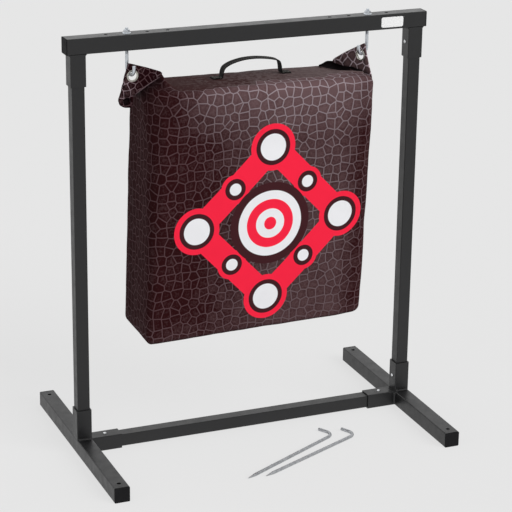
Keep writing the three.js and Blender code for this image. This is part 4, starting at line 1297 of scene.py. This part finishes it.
wide, thick = np.cos(full_turn(strap_sides)), np.sin(full_turn(strap_sides))
section_y = strap_width / 2 * np.sign(wide) * np.abs(wide) ** strap_edge
section_up = strap_thick / 2 * np.sign(thick) * np.abs(thick) ** strap_face
strap_grid = np.stack(np.broadcast_arrays(
    handle_x + strap_line[:, :1] + section_up[None] * strap_up[:, :1],
    bag_y + section_y,
    strap_line[:, 1:] + section_up[None] * strap_up[:, 1:],
), axis=-1)
strap_run = np.linspace(0, 1, strap_rows) * lengths(strap_line)[-1]
strap_uv = np.stack(np.broadcast_arrays(strap_run[:, None], section_y[None]), axis=-1)
strap = surface("handle_strap", strap_grid, uv=ring_closed(strap_uv), sharp=60)

webbing_black, webbing_tones = (14, 13, 13), ((8, 7, 7), (24, 23, 22))
webbing, shader = finish("black_webbing", webbing_black, roughness=0.7, Specular_IOR_Level=0.15)
cut = cut_of(shader)
slanted = {"Vector": cut, "Scale": 32, "Distortion": 1.0, "Detail": 1.0}
ribs = node(cut.id_data, "ShaderNodeTexWave", slanted, bands_direction="DIAGONAL")
rows = node(cut.id_data, "ShaderNodeTexWave", {"Vector": cut, "Scale": 40}, bands_direction="Y")
weft = calc("MULTIPLY", ribs.outputs["Fac"], rows.outputs["Fac"])
feed(shader, "Base Color", blend(weft, *webbing_tones))
bump(shader, weft, depth=0.0004, strength=0.8)
strap.data.materials.append(webbing)
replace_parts(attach(strap, "bag"), "carry_handle")

# Grey bonded thread runs along both edges of the strap, and a crossed box of it holds each sewn end.
# Each stitch is a small spindle of its own, half sunk into the webbing.
stitch_length = 0.0042
stitch_gap = 0.0016
stitch_radius = 0.00042
stitch_inset = 0.0032
stitch_shape = [(0.0, 0.35), (0.18, 0.9), (0.5, 1.0), (0.82, 0.9), (1.0, 0.35)]  # along it, and girth
stitch_sides = 6
legs_start = 1.3  # the edges are stitched from this many sewn ends' lengths inwards
box_ends = (0.003, 0.001)  # how far a box stays from its end's two ends


def stitches(starts, ends, ups):
    """Stitches laid on a surface: each a small spindle from its start to its end, half sunk."""
    run = ends - starts
    across = np.cross(unit(run), ups)
    share, girth_share = np.transpose(stitch_shape)
    turn = full_turn(stitch_sides)[:, None]
    middle = starts[:, None] + run[:, None] * share[:, None]
    ring = np.cos(turn) * across[:, None] + np.sin(turn) * ups[:, None]
    points = middle[:, :, None] + stitch_radius * girth_share[:, None, None] * ring[:, None]
    index = np.arange(len(share) * stitch_sides).reshape(len(share), stitch_sides)
    caps = [index[0].tolist(), index[-1, ::-1].tolist()]
    index = ring_closed(index)
    quads = np.stack([index[1:, :-1], index[1:, 1:], index[:-1, 1:], index[:-1, :-1]], axis=2).reshape(-1, 4)
    firsts = range(0, points[..., 0].size, len(share) * stitch_sides)
    faces = [[first + k for k in face] for first in firsts for face in quads.tolist() + caps]
    mesh = bpy.data.meshes.new("stitches")
    mesh.from_pydata(points.reshape(-1, 3), [], faces)
    mesh.shade_smooth()
    return placed("stitches", mesh)


def strap_spot(run, y):
    """Points on the strap's upper face, and the normals there."""
    place = along_path(run, strap_run, strap_line)
    up = unit(along_path(run, strap_run, strap_up))
    x, z = np.transpose(place + up * strap_thick / 2)
    return np.stack([handle_x + x, bag_y + y + 0 * run, z], axis=-1), np.insert(up, 1, 0.0, axis=-1)


def stitched(run, y, run_end, y_end):
    """Start, end and normal of stitches between places on the strap."""
    start, up = strap_spot(run, y)
    return start, strap_spot(run_end, y_end)[0], up


box_y = strap_width / 2 - stitch_inset
from_end = tab_length * legs_start
stitch_step = stitch_length + stitch_gap
first = np.arange(from_end, strap_run[-1] - from_end - stitch_length, stitch_step)
lines = [stitched(first, y, first + stitch_length, y) for y in (-box_y, box_y)]
outer_end, inner_end = box_ends[0], tab_length - box_ends[1]
for box_low, box_high in ((outer_end, inner_end), (strap_run[-1] - inner_end, strap_run[-1] - outer_end)):
    corners = [(box_low, -box_y), (box_high, -box_y), (box_high, box_y), (box_low, box_y)]
    for i, j in ((0, 1), (1, 2), (2, 3), (3, 0), (0, 2), (1, 3)):
        run, y = corners[i]
        run_on, y_on = np.subtract(corners[j], corners[i])
        count = max(2, int(math.hypot(run_on, y_on) / stitch_step))
        begin = np.arange(count) / count
        stop = begin + stitch_length / stitch_step / count
        lines.append(stitched(run + run_on * begin, y + y_on * begin, run + run_on * stop, y + y_on * stop))
thread_marks = stitches(*(np.concatenate(column) for column in zip(*lines)))
thread_marks.name = "handle_stitches"
thread_grey = (104, 101, 95)
thread, shader = finish("grey_thread", thread_grey, roughness=0.6, Specular_IOR_Level=0.2)
bump(shader, noise(place_of(shader), scale=3000), depth=0.0001, strength=0.4)
thread_marks.data.materials.append(thread)
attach(thread_marks, "bag")

# A plain white vinyl sticker with rounded corners lies on the front of the bar. It is a thin sheet
# whose edge is turned down.
sticker_x = (0.334, 0.392)
sticker_z = (0.9977, 1.0228)
sticker_corner = 0.0055
sticker_thick, sticker_gap = 0.0002, 0.00005
sticker_rows = [(1.0, 0.02), (1.0, 0.9), (1.0, 0.996), (0.6, 1.0), (0.0, 1.0)]  # how proud and how far out
vinyl_white = (246, 246, 246)

sticker_shape = [(sticker_x[i], sticker_z[j]) for i, j in ((0, 0), (1, 0), (1, 1), (0, 1))]
rim_x, rim_z = closed_curve(sticker_shape, 160, sticker_corner * 0.75).T
middle_x, middle_z = sum(sticker_x) / 2, sum(sticker_z) / 2
rows = [
    [
        middle_x + (rim_x - middle_x) * share,
        0 * rim_x - half - sticker_gap - sticker_thick * proud,
        middle_z + (rim_z - middle_z) * share,
    ]
    for proud, share in sticker_rows
]
sticker = surface("bar_sticker", np.transpose(rows, (0, 2, 1)), sharp=50)
vinyl, shader = finish("white_vinyl", vinyl_white, roughness=0.4)
cloudy_gloss(shader, scale=220, low=0.3, high=0.42)
sticker.data.materials.append(vinyl)
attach(sticker, "root")

# Two ground stakes lie on the floor in front: 8 mm rod, bent to a hook at one end and drawn to a point
# at the other, dull galvanised.
stake_shank = 0.31
stake_taper = 0.026
stake_tip, stake_bluntness = 0.0005, 0.8
stake_chamfer = 0.0007
stake_bend = 0.022
stake_bend_angle = math.radians(92)
stake_leg = 0.024
stakes = {"left": ((-0.111, -0.293), 28), "right": ((-0.067, -0.297), 25)}  # place of the tip, and turn
zinc_grey = (158, 160, 163)
flake_tones = (162, 164, 167), (190, 192, 195)

galvanised, shader = finish("galvanised", zinc_grey, roughness=0.42, metallic=0.85)
where = place_of(shader)
spangle = node(where.id_data, "ShaderNodeTexVoronoi", {"Vector": where, "Scale": 260}).outputs["Color"]
flake = node(where.id_data, "ShaderNodeSeparateColor", {0: spangle}).outputs[0]
feed(shader, "Base Color", blend(flake, *flake_tones))
cloudy_gloss(shader, scale=320, low=0.32, high=0.55, detail=4.0)
bump(shader, noise(where, scale=900, detail=3.0), depth=0.00008, strength=0.6)

taper = np.linspace(0, 1, 16)
shank = np.concatenate([stake_taper * taper, np.linspace(stake_taper, stake_shank, 60)[1:]])
turn = np.linspace(0, stake_bend_angle, 36)[1:]
bend_x = stake_shank + stake_bend * np.sin(turn)
bend_y = stake_bend * (1 - np.cos(turn))
leg = np.array([stake_leg - stake_chamfer, stake_leg])
flat_x = np.concatenate([shank, bend_x, bend_x[-1] + leg * math.cos(stake_bend_angle)])
flat_y = np.concatenate([0 * shank, bend_y, bend_y[-1] + leg * math.sin(stake_bend_angle)])
radii = np.full(len(flat_x), rod_radius)
radii[:len(taper)] = stake_tip + (rod_radius - stake_tip) * taper**stake_bluntness
radii[-1] -= stake_chamfer
for side, ((tip_x, tip_y), degrees) in stakes.items():
    lay = math.radians(degrees)
    path = np.stack([
        tip_x + flat_x * math.cos(lay) - flat_y * math.sin(lay),
        tip_y + flat_x * math.sin(lay) + flat_y * math.cos(lay),
        0 * flat_x + rod_radius,
    ], axis=1)
    stake = sweep(f"ground_stake_{side}", path, radii, straight_up)
    stake.data.materials.append(galvanised)
    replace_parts(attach(stake, f"stake_{side}_loose"), f"stake_{side}")
